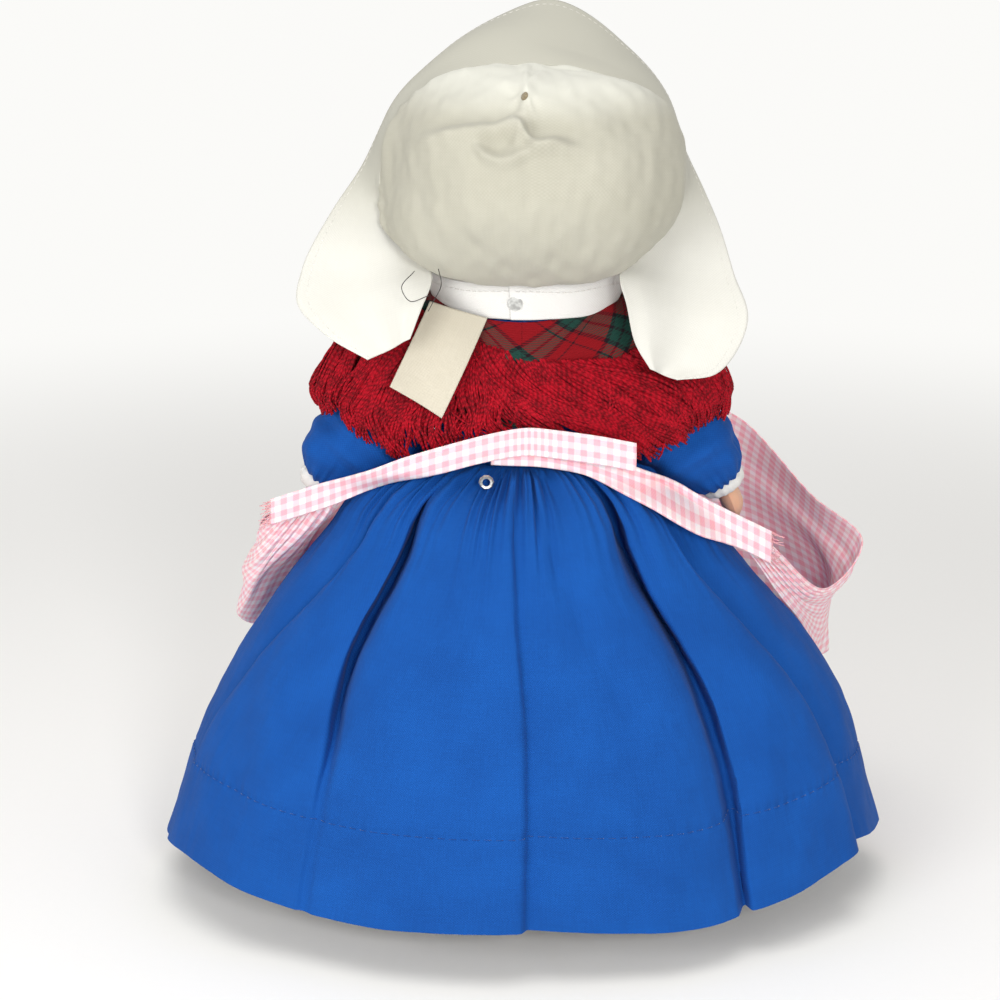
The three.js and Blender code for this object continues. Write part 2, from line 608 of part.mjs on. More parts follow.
function buildBonnet() {
  const pole = 0.08;
  const skin = (u, v) => crownPoint(lerp(pole, 1, u), v * TAU);
  addPart("bonnet_crown", clothBag(7, 24, skin), ORGANDY);

  const brimTurn = radians(98);
  const brimEdge = smoothPath([
    pin(1.097, -0.265, -0.119), pin(0.972, -0.412, 0.238), pin(0.56, -0.588, 0.619), pin(-0.09, -0.706, 0.81),
    pin(-0.62, -0.588, 0.595), pin(-1.014, -0.412, 0.19), pin(-1.111, -0.265, -0.119),
  ]);
  const brimSeam = (u) => crownPoint(1, lerp(brimTurn, -brimTurn, u)).add(vec(0, -CLOTH_GAP, 0));
  const brim = clothSheet(21, 4, (u, v) => {
    const point = brimSeam(u).lerp(brimEdge.getPoint(u), v);
    point.y += Math.sin(v * Math.PI) * 1.2;
    return point;
  });
  addPart("bonnet_brim", brim, ORGANDY);

  for (const [label, side, drop, tuck] of [["left", 1, 0.057, 0.67], ["right", -1, 0.019, 0.68]]) {
    const end = side > 0 ? 0 : 1;
    const below = vec(0, 0, -GAP);
    const fromEdge = brimEdge.getPoint(end).add(below);
    const fromSeam = brimSeam(end).add(below);
    const outer = smoothPath([
      vec(fromEdge.x * side, fromEdge.y, fromEdge.z), pin(1.222, -0.029, -0.333), pin(1.333, 0.206, -0.524),
      pin(1.389, 0.412, drop - 0.714), pin(1.25, 0.603, drop - 0.929), pin(1.083, 0.691, drop - 1),
    ]);
    const inner = smoothPath([
      vec(fromSeam.x * side, fromSeam.y, fromSeam.z), pin(0.88, 0.044, -0.345),
      pin(tuck + 0.13, 0.265, -0.512), pin(tuck, 0.56, -0.64), pin(tuck + 0.09, 0.71, drop - 0.755),
      pin(0.9, 0.735, drop - 0.955),
    ]);
    const wing = clothSheet(9, 5, (u, v) => {
      const point = outer.getPoint(u).lerp(inner.getPoint(u), v);
      return vec(point.x * side, point.y, point.z);
    });
    addPart(`bonnet_${label}_lappet`, wing, ORGANDY);
  }
}

// Arms and sleeves

/** Middle line of an arm, from its flat shoulder face to the finger tips. */
function armLine(side, startX) {
  const arc = [0, 0.25, 0.5, 0.75, 1].map((share) => {
    const angle = radians(ARM_SLOPE_DEG) * share;
    const drop = ARM_BEND_RADIUS * (1 - Math.cos(angle));
    return vec(sleeveStartX + ARM_BEND_RADIUS * Math.sin(angle), 0, shoulderZ - drop);
  });
  const bend = arc[arc.length - 1];
  const points = [
    ...arc,
    ...[[0.164, -0.024, -0.342], [0.381, -0.084, -0.67], [0.487, -0.135, -0.855], [0.54, -0.169, -1]].map(
      (share) => bend.clone().addScaledVector(vec(...share), ARM_DROP),
    ),
  ];
  if (startX < sleeveStartX) points.unshift(vec(startX, 0, shoulderZ));
  return smoothPath(points.map((p) => vec(p.x * side, p.y, p.z)));
}

/** Loops across a line, with half sizes along and across the doll's front-to-back direction. */
function limbLoops(line, stops, sizes, count) {
  return stops.map((stop) => {
    const middle = line.getPointAt(stop);
    const tangent = stop === 0 ? vec(Math.sign(middle.x), 0, 0) : line.getTangentAt(stop);
    const deep = vec(0, 1, 0).addScaledVector(tangent, -tangent.y).normalize();
    const wide = tangent.clone().cross(deep).normalize();
    const [depth, width] = sizes(stop);
    return Array.from({ length: count }, (_, k) => {
      const angle = (k / count) * TAU;
      const point = middle.clone().addScaledVector(deep, depth * Math.cos(angle));
      return point.addScaledVector(wide, width * Math.sin(angle));
    });
  });
}

const wristShare = 0.71;
const armThickness = smoothCurve([[0, ARM_RADIUS], [0.3, ARM_RADIUS], [0.48, 0.88 * ARM_RADIUS],
  [wristShare, 0.66 * ARM_RADIUS], [0.84, 0.8 * ARM_RADIUS], [0.95, 0.62 * ARM_RADIUS],
  [1, 0.3 * ARM_RADIUS]]);
const handThinning = smoothCurve([[0, 1], [wristShare, 1], [0.84, 0.62], [1, 0.6]]);
const sleeveFullness = smoothCurve([[0, sleeveRadius], [0.5, sleeveRadius + 0.3], [0.85, sleeveRadius - 0.2],
  [1, 0.66 * ARM_RADIUS + GAP + CLOTH + 0.6]]);

function buildArm(label, side) {
  const line = armLine(side, armStartX);
  const stops = [0, 0.08, 0.16, 0.24, 0.36, 0.5, wristShare, 0.78, 0.86, 0.94, 1];
  const skin = loft(limbLoops(line, stops, (s) => [armThickness(s), armThickness(s) * handThinning(s)], 10));
  const palm = line.getPointAt(0.8);
  const thumbTip = palm.clone().add(vec(-side * 0.27, -1, -0.8).multiplyScalar(ARM_RADIUS));
  const thumb = capsule(palm, thumbTip, 0.27 * ARM_RADIUS);
  const knotX = armStartX + KNOT_RADIUS + 2.6;
  const bore = bar(vec(side * (armStartX - 2), 0, shoulderZ), vec(side * knotX, 0, shoulderZ),
    ELASTIC_RADIUS + GAP, 10);
  const pocket = crimpPocket(side, knotX, shoulderZ);
  addPart(`${label}_arm`, carve(join(skin, thumb), bore, pocket), DOLL_SKIN);

  const cloth = armLine(side, sleeveStartX);
  const sleeveEnd = wristShare - 0.055;
  const columns = 12;
  const rings = [0, 0.11, 0.22, 0.34, 0.52, 0.74, 0.9, 1];
  const loops = limbLoops(cloth, rings.map((s) => s * sleeveEnd),
    (s) => [sleeveFullness(s / sleeveEnd), sleeveFullness(s / sleeveEnd)], columns);
  const sleeve = clothTube(loops.length, columns, (u, v) => {
    return loops[Math.round(u * (loops.length - 1))][Math.round(v * columns)];
  });
  addPart(`${label}_sleeve`, sleeve, BLUE_COTTON);

  const from = sleeveEnd + 0.009;
  const to = from + CUFF_LENGTH / cloth.getLength();
  const cuffRadius = 0.66 * ARM_RADIUS + GAP + CLOTH + 0.7;
  const cuffLoops = limbLoops(cloth, [from, to], () => [cuffRadius, cuffRadius], columns);
  const cuff = clothTube(2, columns, (u, v) => cuffLoops[Math.round(u)][Math.round(v * columns)]);
  addPart(`${label}_cuff`, cuff, WHITE_COTTON);
}

// Legs, socks and shoes

const kneeZ = HIP_HEIGHT * 0.54;
const ankleZ = HIP_HEIGHT * 0.155;
const legWidth = smoothCurve([[0, 0.6], [ankleZ, 0.6], [HIP_HEIGHT * 0.38, 0.86], [kneeZ, 0.82],
  [HIP_HEIGHT * 0.8, 1], [HIP_HEIGHT, 1]]);
const legDepth = smoothCurve([[0, 0.7], [ankleZ, 0.68], [HIP_HEIGHT * 0.38, 1.02], [kneeZ, 0.95],
  [HIP_HEIGHT * 0.8, 1.3], [HIP_HEIGHT, 1.42]]);

const legColumns = 10;

function legLoops(side, heights, grow) {
  return heights.map((z) => {
    const width = LEG_HALF_WIDTH * legWidth(z) + grow;
    const loop = levelLoop(legColumns, z, width, LEG_HALF_WIDTH * legDepth(z) + grow);
    return loop.map((p) => p.add(vec(side * legX, 0, 0)));
  });
}

const footHalfWidth = smoothCurve([[0, 0.35], [0.08, 0.56], [0.3, 0.64], [0.68, 0.84], [0.88, 0.7],
  [1, 0.3]]);
const footTop = smoothCurve([[0, 0.42], [0.1, 0.72], [0.35, 1], [0.6, 0.8], [0.85, 0.58], [1, 0.36]]);
const heelY = FOOT_LENGTH * 0.32;

/** Foot from heel to toe, grown by a distance. */
function footBody(side, grow) {
  const shares = [0, 0.09, 0.32, 0.55, 0.72, 0.9, 1];
  const loops = shares.map((share) => {
    const y = heelY - FOOT_LENGTH * share + grow * (1 - 2 * share);
    const halfWidth = LEG_HALF_WIDTH * footHalfWidth(share) + grow;
    const high = footBaseZ + (ankleZ - footBaseZ) * footTop(share) + grow;
    const low = footBaseZ - grow;
    return Array.from({ length: 10 }, (_, k) => {
      const angle = (k / 10) * TAU;
      const lift = Math.sign(Math.cos(angle)) * Math.abs(Math.cos(angle)) ** 0.7;
      const out = Math.sign(Math.sin(angle)) * Math.abs(Math.sin(angle)) ** 0.7;
      return vec(side * legX + halfWidth * out, y, lerp(low, high, 0.5 + 0.5 * lift));
    });
  });
  return loft(loops);
}

function soleSolid(side) {
  const grow = GAP + SHOE_WALL;
  const shares = [0, 0.05, 0.12, 0.25, 0.4, 0.55, 0.68, 0.8, 0.9, 0.97, 1];
  const edge = shares.map((share) => {
    const y = heelY - FOOT_LENGTH * share + grow * (1 - 2 * share);
    return [LEG_HALF_WIDTH * footHalfWidth(share) + grow, y];
  });
  const outline = [...edge.map(([x, y]) => [x, y]), ...edge.slice().reverse().map(([x, y]) => [-x, y])];
  const level = (z) => outline.map(([x, y]) => vec(side * legX + x, y, z));
  return loft([level(0), level(SOLE_THICKNESS)]);
}

function buildLeg(label, side) {
  const inner = side * (HIP_WEB_HALF_WIDTH + JOINT_GAP);
  const outer = side * (legX + LEG_HALF_WIDTH);
  const drumLine = [[inner, 1], [side * legX, 1], [lerp(side * legX, outer, 0.6), 0.87], [outer, 0.5]];
  const drum = loft(drumLine.map(([x, share]) => {
    const loop = levelLoop(18, 0, HIP_JOINT_RADIUS * share, HIP_JOINT_RADIUS * share);
    return loop.map((p) => vec(x, p.x, HIP_HEIGHT + p.y));
  }));
  const heights = [footBaseZ + 3, ankleZ, HIP_HEIGHT * 0.27, HIP_HEIGHT * 0.38, kneeZ,
    HIP_HEIGHT * 0.66, HIP_HEIGHT * 0.8, HIP_HEIGHT];
  const bore = bar(vec(inner - side * 2, 0, HIP_HEIGHT), vec(side * legX, 0, HIP_HEIGHT),
    ELASTIC_RADIUS + GAP, 10);
  const pocket = crimpPocket(side, legX, HIP_HEIGHT);
  const limb = join(drum, loft(legLoops(side, heights, 0)), footBody(side, 0));
  addPart(`${label}_leg`, carve(limb, bore, pocket), DOLL_SKIN);

  const sockFrom = Math.max(SHOE_HEIGHT, ankleZ) + GAP * 2;
  const sockTo = HIP_HEIGHT * 0.4;
  const sockOut = GAP + CLOTH;
  const sock = clothTube(5, legColumns, (u, v) => {
    const loop = legLoops(side, [lerp(sockFrom, sockTo, u)], sockOut)[0];
    return loop[Math.round(v * legColumns)];
  });
  addPart(`${label}_sock`, sock, WHITE_COTTON);
  const shoeReach = GAP + SHOE_WALL;
  const upper = keep(footBody(side, shoeReach), box(
    vec(-HEM_HALF_WIDTH, -HEM_HALF_DEPTH, SOLE_THICKNESS + GAP * 1.5),
    vec(HEM_HALF_WIDTH, HEM_HALF_DEPTH, SHOE_HEIGHT),
  ));
  const mouth = bar(vec(0, 0, SHOE_HEIGHT * 0.62), vec(0, 0, SHOE_HEIGHT * 2), 1, 10);
  mouth.scale(LEG_HALF_WIDTH * 0.6 + GAP * 2, FOOT_LENGTH * 0.3, 1);
  mouth.translate(side * legX, heelY - FOOT_LENGTH * 0.36, 0);
  addPart(`${label}_shoe`, carve(upper, footBody(side, GAP), mouth), BLACK_VINYL);
  addPart(`${label}_shoe_sole`, soleSolid(side), BLACK_VINYL);
}

// Skirt and petticoat

const skirtTopZ = waistZ + 0.3;
const skirtWaistWidth = WAIST_HALF_WIDTH + GAP + CLOTH + 1;
const skirtWaistDepth = WAIST_HALF_DEPTH + GAP + CLOTH + 1.2;
const fullness = smoothCurve([[0, 0], [0.013, 0.068], [0.035, 0.15], [0.066, 0.243], [0.108, 0.315],
  [0.18, 0.388], [0.265, 0.475], [0.37, 0.592], [0.5, 0.723], [0.665, 0.839], [0.845, 0.932], [1, 1]]);

// Main folds: degrees round from the middle of the back towards the doll's left at waist and hem, depths in
// the upper part and at the hem, and half widths in degrees before and after
const SKIRT_FOLDS = [
  [3, -1, 1.6, 1.8, 10, 4],
  [40.5, 35, 7.5, 2, 4, 10],
  [60, 79, 2.3, 0.6, 6, 9],
  [112, 114, 3.5, 4, 10, 7],
  [140, 138, 4, 4.5, 12, 12],
  [168, 168, 4, 4, 11, 11],
  [196, 198, 4, 4.5, 11, 11],
  [224, 224, 4, 4, 12, 12],
  [250, 248, 3.5, 4, 7, 10],
  [305, 291, 2.8, 4, 9, 4],
  [325, 323, 8, 4, 10, 4],
];

// Columns of the skirt, closer together beside its sharp folds
const SKIRT_TURNS = [
  3, 6.5, 14, 22, 30, 36.5, 40.5, 45, 52, 60, 68, 76, 84, 92, 100, 107, 112, 117,
  124, 132, 140, 148, 156, 162, 168, 174, 181, 189, 196, 203, 210, 217, 224, 231, 238, 245,
  250, 256, 264, 272, 280, 288, 296, 301, 305, 309, 314, 320.5, 325, 329, 336, 344, 351, 357,
];

function skirtWidth(z) {
  const fall = (skirtTopZ - z) / (skirtTopZ - HEM_HEIGHT);
  return lerp(skirtWaistWidth, HEM_HALF_WIDTH, fullness(fall));
}

function skirtDepth(z) {
  const fall = (skirtTopZ - z) / (skirtTopZ - HEM_HEIGHT);
  return lerp(skirtWaistDepth, HEM_HALF_DEPTH, fullness(fall));
}

/** Degrees from one turn to another, from -180 to 180. */
function turnGap(from, to) {
  return THREE.MathUtils.euclideanModulo(to - from + 180, 360) - 180;
}

/** Turn of a column of the skirt at a share of its fall, carried along by the folds near it. */
function driftedTurn(column, fall) {
  const share = smoothstep(fall, 0.1, 0.9);
  const drift = SKIRT_FOLDS.reduce((total, [top, hem]) => {
    return total + (hem - top) * share * Math.exp(-((turnGap(top, column) / 9) ** 2));
  }, 0);
  return radians(column + drift);
}

/** How far the cloth is drawn in by its folds at a turn round the skirt and a share of its fall. */
function foldDepth(turn, fall) {
  const degrees = THREE.MathUtils.radToDeg(turn);
  const share = smoothstep(fall, 0.1, 0.9);
  const sum = SKIRT_FOLDS.reduce((total, [top, hem, upper, lower, before, after]) => {
    const away = turnGap(lerp(top, hem, share), degrees);
    const width = away < 0 ? before : after;
    const depth = lerp(upper, lower, smoothstep(fall, 0.4, 0.9));
    return total + depth * Math.exp(-(Math.abs(away / width) ** 1.5));
  }, 0);
  return sum * smoothstep(fall, 0.01, 0.14);
}

/** Outside of the skirt, lowered by a drop and drawn in by an inset for the layer below it. */
function skirtPoint(turn, fall, drop, inset) {
  const z = lerp(skirtTopZ, HEM_HEIGHT, fall);
  const x = (skirtWidth(z) - inset) * Math.sin(turn);
  const y = (skirtDepth(z) - inset) * Math.cos(turn);
  const radius = Math.hypot(x, y);
  const scale = 1 - foldDepth(turn, fall) / radius;
  return vec(x * scale, y * scale, z - drop);
}

/** Point moved away from the doll's middle line until it stands off the skirt by a gap. */
function clearOfSkirt(point, gap) {
  if (point.z > skirtTopZ) return point;
  const share = Math.hypot(point.x / (skirtWidth(point.z) + gap), point.y / (skirtDepth(point.z) + gap));
  const push = Math.max(1, 1 / share);
  return vec(point.x * push, point.y * push, point.z);
}

function buildSkirts() {
  const falls = [0, 0.014, 0.036, 0.07, 0.13, 0.24, 0.4, 0.6, 0.8, 1];
  const turns = SKIRT_TURNS.length;
  const skirt = clothTube(falls.length, turns, (u, v) => {
    const fall = falls[Math.round(u * (falls.length - 1))];
    const column = SKIRT_TURNS[Math.round(v * turns) % turns];
    return skirtPoint(driftedTurn(column, fall), fall, 0, 0);
  });
  addPart("dress_skirt", skirt, BLUE_COTTON);

  const layers = [0.004, 0.036, 0.09, 0.24, 0.5, 0.9];
  const petticoat = clothTube(layers.length, turns, (u, v) => {
    const fall = layers[Math.round(u * (layers.length - 1))];
    const column = SKIRT_TURNS[Math.round(v * turns) % turns];
    return skirtPoint(driftedTurn(column, fall), fall, PETTICOAT_DROP, CLOTH * 3);
  });
  addPart("petticoat", petticoat, WHITE_COTTON);
}

function buildPanties() {
  const topZ = waistZ - 7;
  const lowZ = HIP_HEIGHT - 9;
  const wide = legX + LEG_HALF_WIDTH + JOINT_GAP + CLOTH + 1;
  const deep = HIP_HALF_DEPTH + GAP + CLOTH + 1.2;
  const square = (value, share) => Math.sign(value) * Math.abs(value) ** lerp(1, 0.74, share);
  const body = clothTube(4, bodyColumns, (u, v) => {
    const z = lerp(topZ, lowZ, u);
    const share = smoothstep(u, 0, 0.5);
    const width = lerp(torsoWidth(topZ) + GAP + CLOTH, wide, share);
    const depth = lerp(torsoDepth(topZ) + GAP + CLOTH, deep, share);
    return vec(width * square(Math.sin(v * TAU), share), depth * square(Math.cos(v * TAU), share), z);
  });
  const gusset = clothSheet(9, 2, (u, v) => {
    const swing = lerp(-Math.PI / 2, Math.PI / 2, u);
    const fall = crotchZ - CLOTH_GAP - lowZ;
    const z = lowZ + 0.6 + (fall - 1.4) * Math.cos(swing);
    return vec(lerp(-3.6, 3.6, v), (deep - CLOTH * 0.25) * Math.sin(swing), z);
  });
  addPart("panties", join(body, gusset), WHITE_COTTON);
}

// Bodice and collar

const necklineWidth = NECK_RIM_RADIUS + 4;
const necklineDepth = NECK_RIM_RADIUS + 2.2;
const necklineZ = neckZ - 0.6;

function buildBodice() {
  const lowZ = skirtTopZ + GAP;
  const ease = GAP * 1.5 + CLOTH;
  const levels = torsoLevels.map(([z]) => z).filter((z) => z > lowZ + 2 && z < necklineZ - 1);
  const heights = [lowZ, ...levels, necklineZ];
  const body = clothTube(heights.length, bodyColumns, (u, v) => {
    const z = heights[Math.round(u * (heights.length - 1))];
    const top = smoothstep(z, shoulderZ + 2, necklineZ);
    const width = lerp(torsoWidth(z) + ease, Math.max(necklineWidth, torsoWidth(z) + ease), top);
    const depth = lerp(torsoDepth(z) + ease, Math.max(necklineDepth, torsoDepth(z) + ease), top);
    return vec(width * Math.sin(v * TAU), depth * Math.cos(v * TAU), z);
  });
  const reach = SHOULDER_HALF_WIDTH * 2;
  const holes = [-1, 1].map((side) => {
    const inside = vec(side * SHOULDER_HALF_WIDTH * 0.6, 0, shoulderZ);
    return bar(inside, vec(side * reach, 0, shoulderZ), ARM_RADIUS + GAP * 2, 14);
  });
  addPart("dress_bodice", carve(body, ...holes), BLUE_COTTON);

  const collar = clothTube(3, 24, (u, v) => {
    const flare = COLLAR_FLARE * u ** 0.8;
    const z = necklineZ + GAP + COLLAR_HEIGHT * u;
    const depth = necklineDepth + flare * 0.8;
    return vec((necklineWidth + flare) * Math.sin(v * TAU), depth * Math.cos(v * TAU), z);
  });
  addPart("dress_collar", collar, WHITE_COTTON);
  const snapY = necklineDepth + COLLAR_FLARE * 0.42 + GAP;
  const snapZ = necklineZ + GAP + COLLAR_HEIGHT * 0.45;
  addPart("collar_snap", bar(vec(1.5, snapY + 0.4, snapZ), vec(1.5, snapY + 1.3, snapZ), 1.7, 10), STEEL);
}

// Shawl and fringe

const bendTop = shoulderZ - ARM_BEND_RADIUS;
const shawlOver = ARM_BEND_RADIUS + sleeveRadius + CLOTH_GAP + CLOTH + SHAWL_EASE;

/** Shawl outline over a shoulder: distance out and height at a share of the way from the neck. */
const shoulderOut = smoothCurve([[0, necklineWidth + 3.4], [0.2, sleeveStartX],
  [0.45, sleeveStartX + 0.5 * shawlOver],
  [0.68, sleeveStartX + 0.87 * shawlOver], [1, sleeveStartX + 1.36 * shawlOver]]);
const shoulderFall = smoothCurve([[0, 0.4], [0.2, 0], [0.45, 0.13 * shawlOver], [0.68, 0.5 * shawlOver],
  [1, 1.3 * shawlOver]]);
const backOut = smoothCurve([[0, necklineDepth + 1.1], [0.2, CHEST_HALF_DEPTH + 2.8],
  [0.6, CHEST_HALF_DEPTH + 3.1],
  [1, CHEST_HALF_DEPTH + 3.8]]);
const shawlTopZ = bendTop + shawlOver;

function shawlPoint(turn, share, lift) {
  const side = Math.sin(turn) ** 2;
  const overZ = shawlTopZ - shoulderFall(share);
  const backZ = lerp(necklineZ - 0.9, necklineZ - SHAWL_DROP, share);
  const width = shoulderOut(share) + lift;
  const depth = backOut(share) + lift;
  return vec(width * Math.sin(turn), depth * Math.cos(turn), lerp(backZ, overZ + lift * 0.4, side));
}

/** Cuts a cape into the piece on the body, from frontY back, and the two that lie on the arms. */
function addCape(name, cape, frontY, finish) {
  const far = HEM_HALF_WIDTH * 2;
  const middle = box(vec(-shawlSplitX + GAP, frontY, 0), vec(shawlSplitX - GAP, far, far * 2));
  addPart(name, keep(cape, middle), finish);
  for (const [label, side] of [["left", 1], ["right", -1]]) {
    const inner = side * (shawlSplitX + GAP / 2);
    const low = vec(Math.min(inner, side * far), -far, 0);
    const high = vec(Math.max(inner, side * far), far, far * 2);
    addPart(`${name}_over_${label}_arm`, keep(cape, box(low, high)), finish);
  }
}

/** Wedge left open at the throat. */
function throatGap() {
  const far = HEM_HALF_WIDTH;
  const low = necklineZ - SHAWL_DROP * 0.86;
  const level = (z, half) => [vec(-half, -far, z), vec(half, -far, z), vec(half, 0, z), vec(-half, 0, z)];
  return loft([level(low - SHAWL_DROP, 1.2), level(low, 1.2), level(necklineZ + 12, 15)]);
}

function buildShawl() {
  const cape = clothTube(7, 26, (u, v) => shawlPoint(v * TAU, u, 0));
  addCape("shawl", carve(cape, throatGap()), -HEM_HALF_WIDTH, PLAID_WOOL);
  const start = 0.58;
  const lift = GAP + FRINGE_THICKNESS;
  const fringe = clothTube(4, 26, (u, v) => {
    return shawlPoint(v * TAU, lerp(start, 0.95, u), lift);
  }, FRINGE_THICKNESS - 0.2);
  addCape("shawl_fringe", fringe, 0, RED_YARN);
}

// Apron

/** Point given in shares of the hem's half width, its half depth and the waist's height. */
function spot(x, y, z) {
  return vec(x * HEM_HALF_WIDTH, y * HEM_HALF_DEPTH, z * waistZ);
}

/** Distance back from the doll's middle at which a tie clears the waist and the skirt. */
function tieDepth(x, z, standOff) {
  const ride = (width, depth) => depth * Math.sqrt(Math.max(0.04, 1 - (x / width) ** 2));
  const skirt = z < skirtTopZ ? ride(skirtWidth(z), skirtDepth(z)) : 0;
  const shawl = ride(shoulderOut(1), backOut(1));
  return Math.max(skirt, shawl * smoothstep(z, waistZ - 6, waistZ + 2)) + standOff;
}

function tieStrip(path, standOff) {
  return clothSheet(16, 4, (u, v) => {
    const middle = path.getPoint(u);
    const z = middle.z + lerp(-TIE_WIDTH / 2, TIE_WIDTH / 2, v);
    return vec(middle.x, Math.max(middle.y, tieDepth(middle.x, z, standOff)), z);
  }, CLOTH);
}

function buildApron() {
  const backZ = waistZ + 0.236 * WAIST_RISE;
  const endX = 0.679 * HEM_HALF_WIDTH;
  const leftEndZ = backZ - 0.162 * waistZ;
  const rightEndZ = backZ - 0.248 * waistZ;
  const along = (x, y, drop) => vec(x * HEM_HALF_WIDTH, y * HEM_HALF_DEPTH, backZ - drop * waistZ);
  const leftPath = smoothPath([
    along(-0.298, 0, 0.019), along(-0.119, 0, -0.004), along(0.06, 0, 0), along(0.298, 0, 0.057),
    along(0.512, 0.14, 0.119), vec(endX, 0.099 * HEM_HALF_DEPTH, leftEndZ),
  ]);
  const rightPath = smoothPath([
    vec(-endX, 0.099 * HEM_HALF_DEPTH, rightEndZ), along(-0.488, 0.14, 0.167), along(-0.321, 0, 0.095),
    along(-0.167, 0, 0.038), along(-0.071, 0, 0.015), along(0.095, 0, -0.004),
  ]);
  const rightStand = CLOTH_GAP * 4;
  const leftStand = rightStand + CLOTH + CLOTH_GAP;
  addPart("apron_left_tie", tieStrip(leftPath, leftStand), GINGHAM);
  addPart("apron_right_tie", tieStrip(rightPath, rightStand), GINGHAM);

  const gather = (side, z, standOff) => [1, 0.4, -0.4, -1].map((share) => {
    const level = z + (share * TIE_WIDTH) / 2;
    return vec(side * (endX + CLOTH_GAP), tieDepth(endX, level, standOff), level);
  });
  const bandZ = waistZ + 0.09 * WAIST_RISE;
  const hang = (top, middle, low) => [top, top.clone().lerp(middle, 0.5).add(vec(0, -1, 0)), middle, low];
  const frontY = -WAIST_HALF_DEPTH - CLOTH * 3 - CLOTH_GAP * 3;
  const columns = [
    gather(1, leftEndZ, leftStand),
    hang(spot(0.738, -0.165, 0.867), spot(0.774, -0.099, 0.724), spot(0.798, -0.116, 0.571)),
    hang(spot(0.714, -0.446, 0.857), spot(0.786, -0.43, 0.667), spot(0.833, -0.463, 0.438)),
    hang(spot(0.595, -0.76, 0.895), spot(0.667, -0.793, 0.667), spot(0.714, -0.86, 0.381)),
    [vec(0.79 * WAIST_HALF_WIDTH, frontY * 0.82, bandZ), spot(0.286, -0.496, 0.943),
      spot(0.345, -0.793, 0.724), spot(0.393, -0.942, 0.352)],
    [vec(0, frontY, bandZ), spot(0, -0.545, 0.924), spot(0, -0.81, 0.724), spot(0, -0.97, 0.343)],
    [vec(-0.79 * WAIST_HALF_WIDTH, frontY * 0.82, bandZ), spot(-0.286, -0.512, 0.943),
      spot(-0.345, -0.81, 0.724), spot(-0.393, -0.942, 0.352)],
    hang(spot(-0.631, -0.793, 0.962), spot(-0.69, -0.843, 0.686), spot(-0.738, -0.893, 0.381)),
    hang(spot(-0.857, -0.612, 0.838), spot(-0.881, -0.595, 0.629), spot(-0.893, -0.562, 0.419)),
    hang(spot(-0.964, -0.364, 0.733), spot(-0.905, -0.298, 0.61), spot(-0.893, -0.231, 0.467)),
    gather(-1, rightEndZ, rightStand),
  ];
  const lines = [0, 1, 2, 3].map((row) => smoothPath(columns.map((column) => column[row])));
  const panel = clothSheet(24, 6, (u, v) => {
    const down = smoothPath(lines.map((line) => line.getPoint(u)));
    const point = down.getPoint(v);
    const ripple = Math.sin(u * TAU * 6.5) * 1.1 * smoothstep(v, 0.1, 0.9);
    point.add(vec(point.x, point.y, 0).normalize().multiplyScalar(ripple));
    return clearOfSkirt(point, CLOTH + CLOTH_GAP);
  });
  addPart("apron_panel", panel, GINGHAM);
  const hookZ = waistZ - 1.2;
  const hookY = tieDepth(8, hookZ - 2, CLOTH_GAP) + GAP;
  addPart("waist_hook", hoop(vec(8, hookY, hookZ), vec(0, 1, 0), 1.3, 0.45), STEEL);

  const snapY = tieDepth(-18, backZ - 2.5, leftStand) + CLOTH + GAP;
  const snapZ = backZ - 0.8;
  addPart("apron_snap", bar(vec(-18, snapY, snapZ), vec(-18, snapY + 0.9, snapZ), 1.7, 10), STEEL);
}

function buildLabel() {
  const top = vec(8, necklineDepth - 0.2, necklineZ + 2.2);
  const across = vec(Math.cos(radians(16)), 0.05, Math.sin(radians(16)));
  const down = vec(Math.sin(radians(24)), 0.36, -Math.cos(radians(24))).normalize();
  const label = clothSheet(5, 4, (u, v) => {
    const point = top.clone().addScaledVector(across, v * LABEL_WIDTH);
    point.addScaledVector(down, u * LABEL_LENGTH);
    point.y += 1.5 * Math.sin(u * Math.PI);
    return point;
  }, 0.5);
  addPart("sewn_label", label, WHITE_COTTON);
}

buildTorso();
buildStringing();
buildHead();
buildHair();
buildEyes();
buildBonnet();
buildArm("left", 1);
buildArm("right", -1);
buildLeg("left", 1);
buildLeg("right", -1);
buildSkirts();
buildPanties();
buildBodice();
buildShawl();
buildApron();
buildLabel();

export default group;
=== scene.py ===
"""A strung doll in costume: its cloth, yarn, hair and finishes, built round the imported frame.

Lengths in this file are millimetres and are turned into metres where meshes are made. The doll faces -Y.
"""

from __future__ import annotations

import logging
import math
from dataclasses import dataclass
from enum import Enum
from typing import Sequence

import bpy  # noqa: E402
import numpy as np  # noqa: E402
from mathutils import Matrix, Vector  # noqa: E402

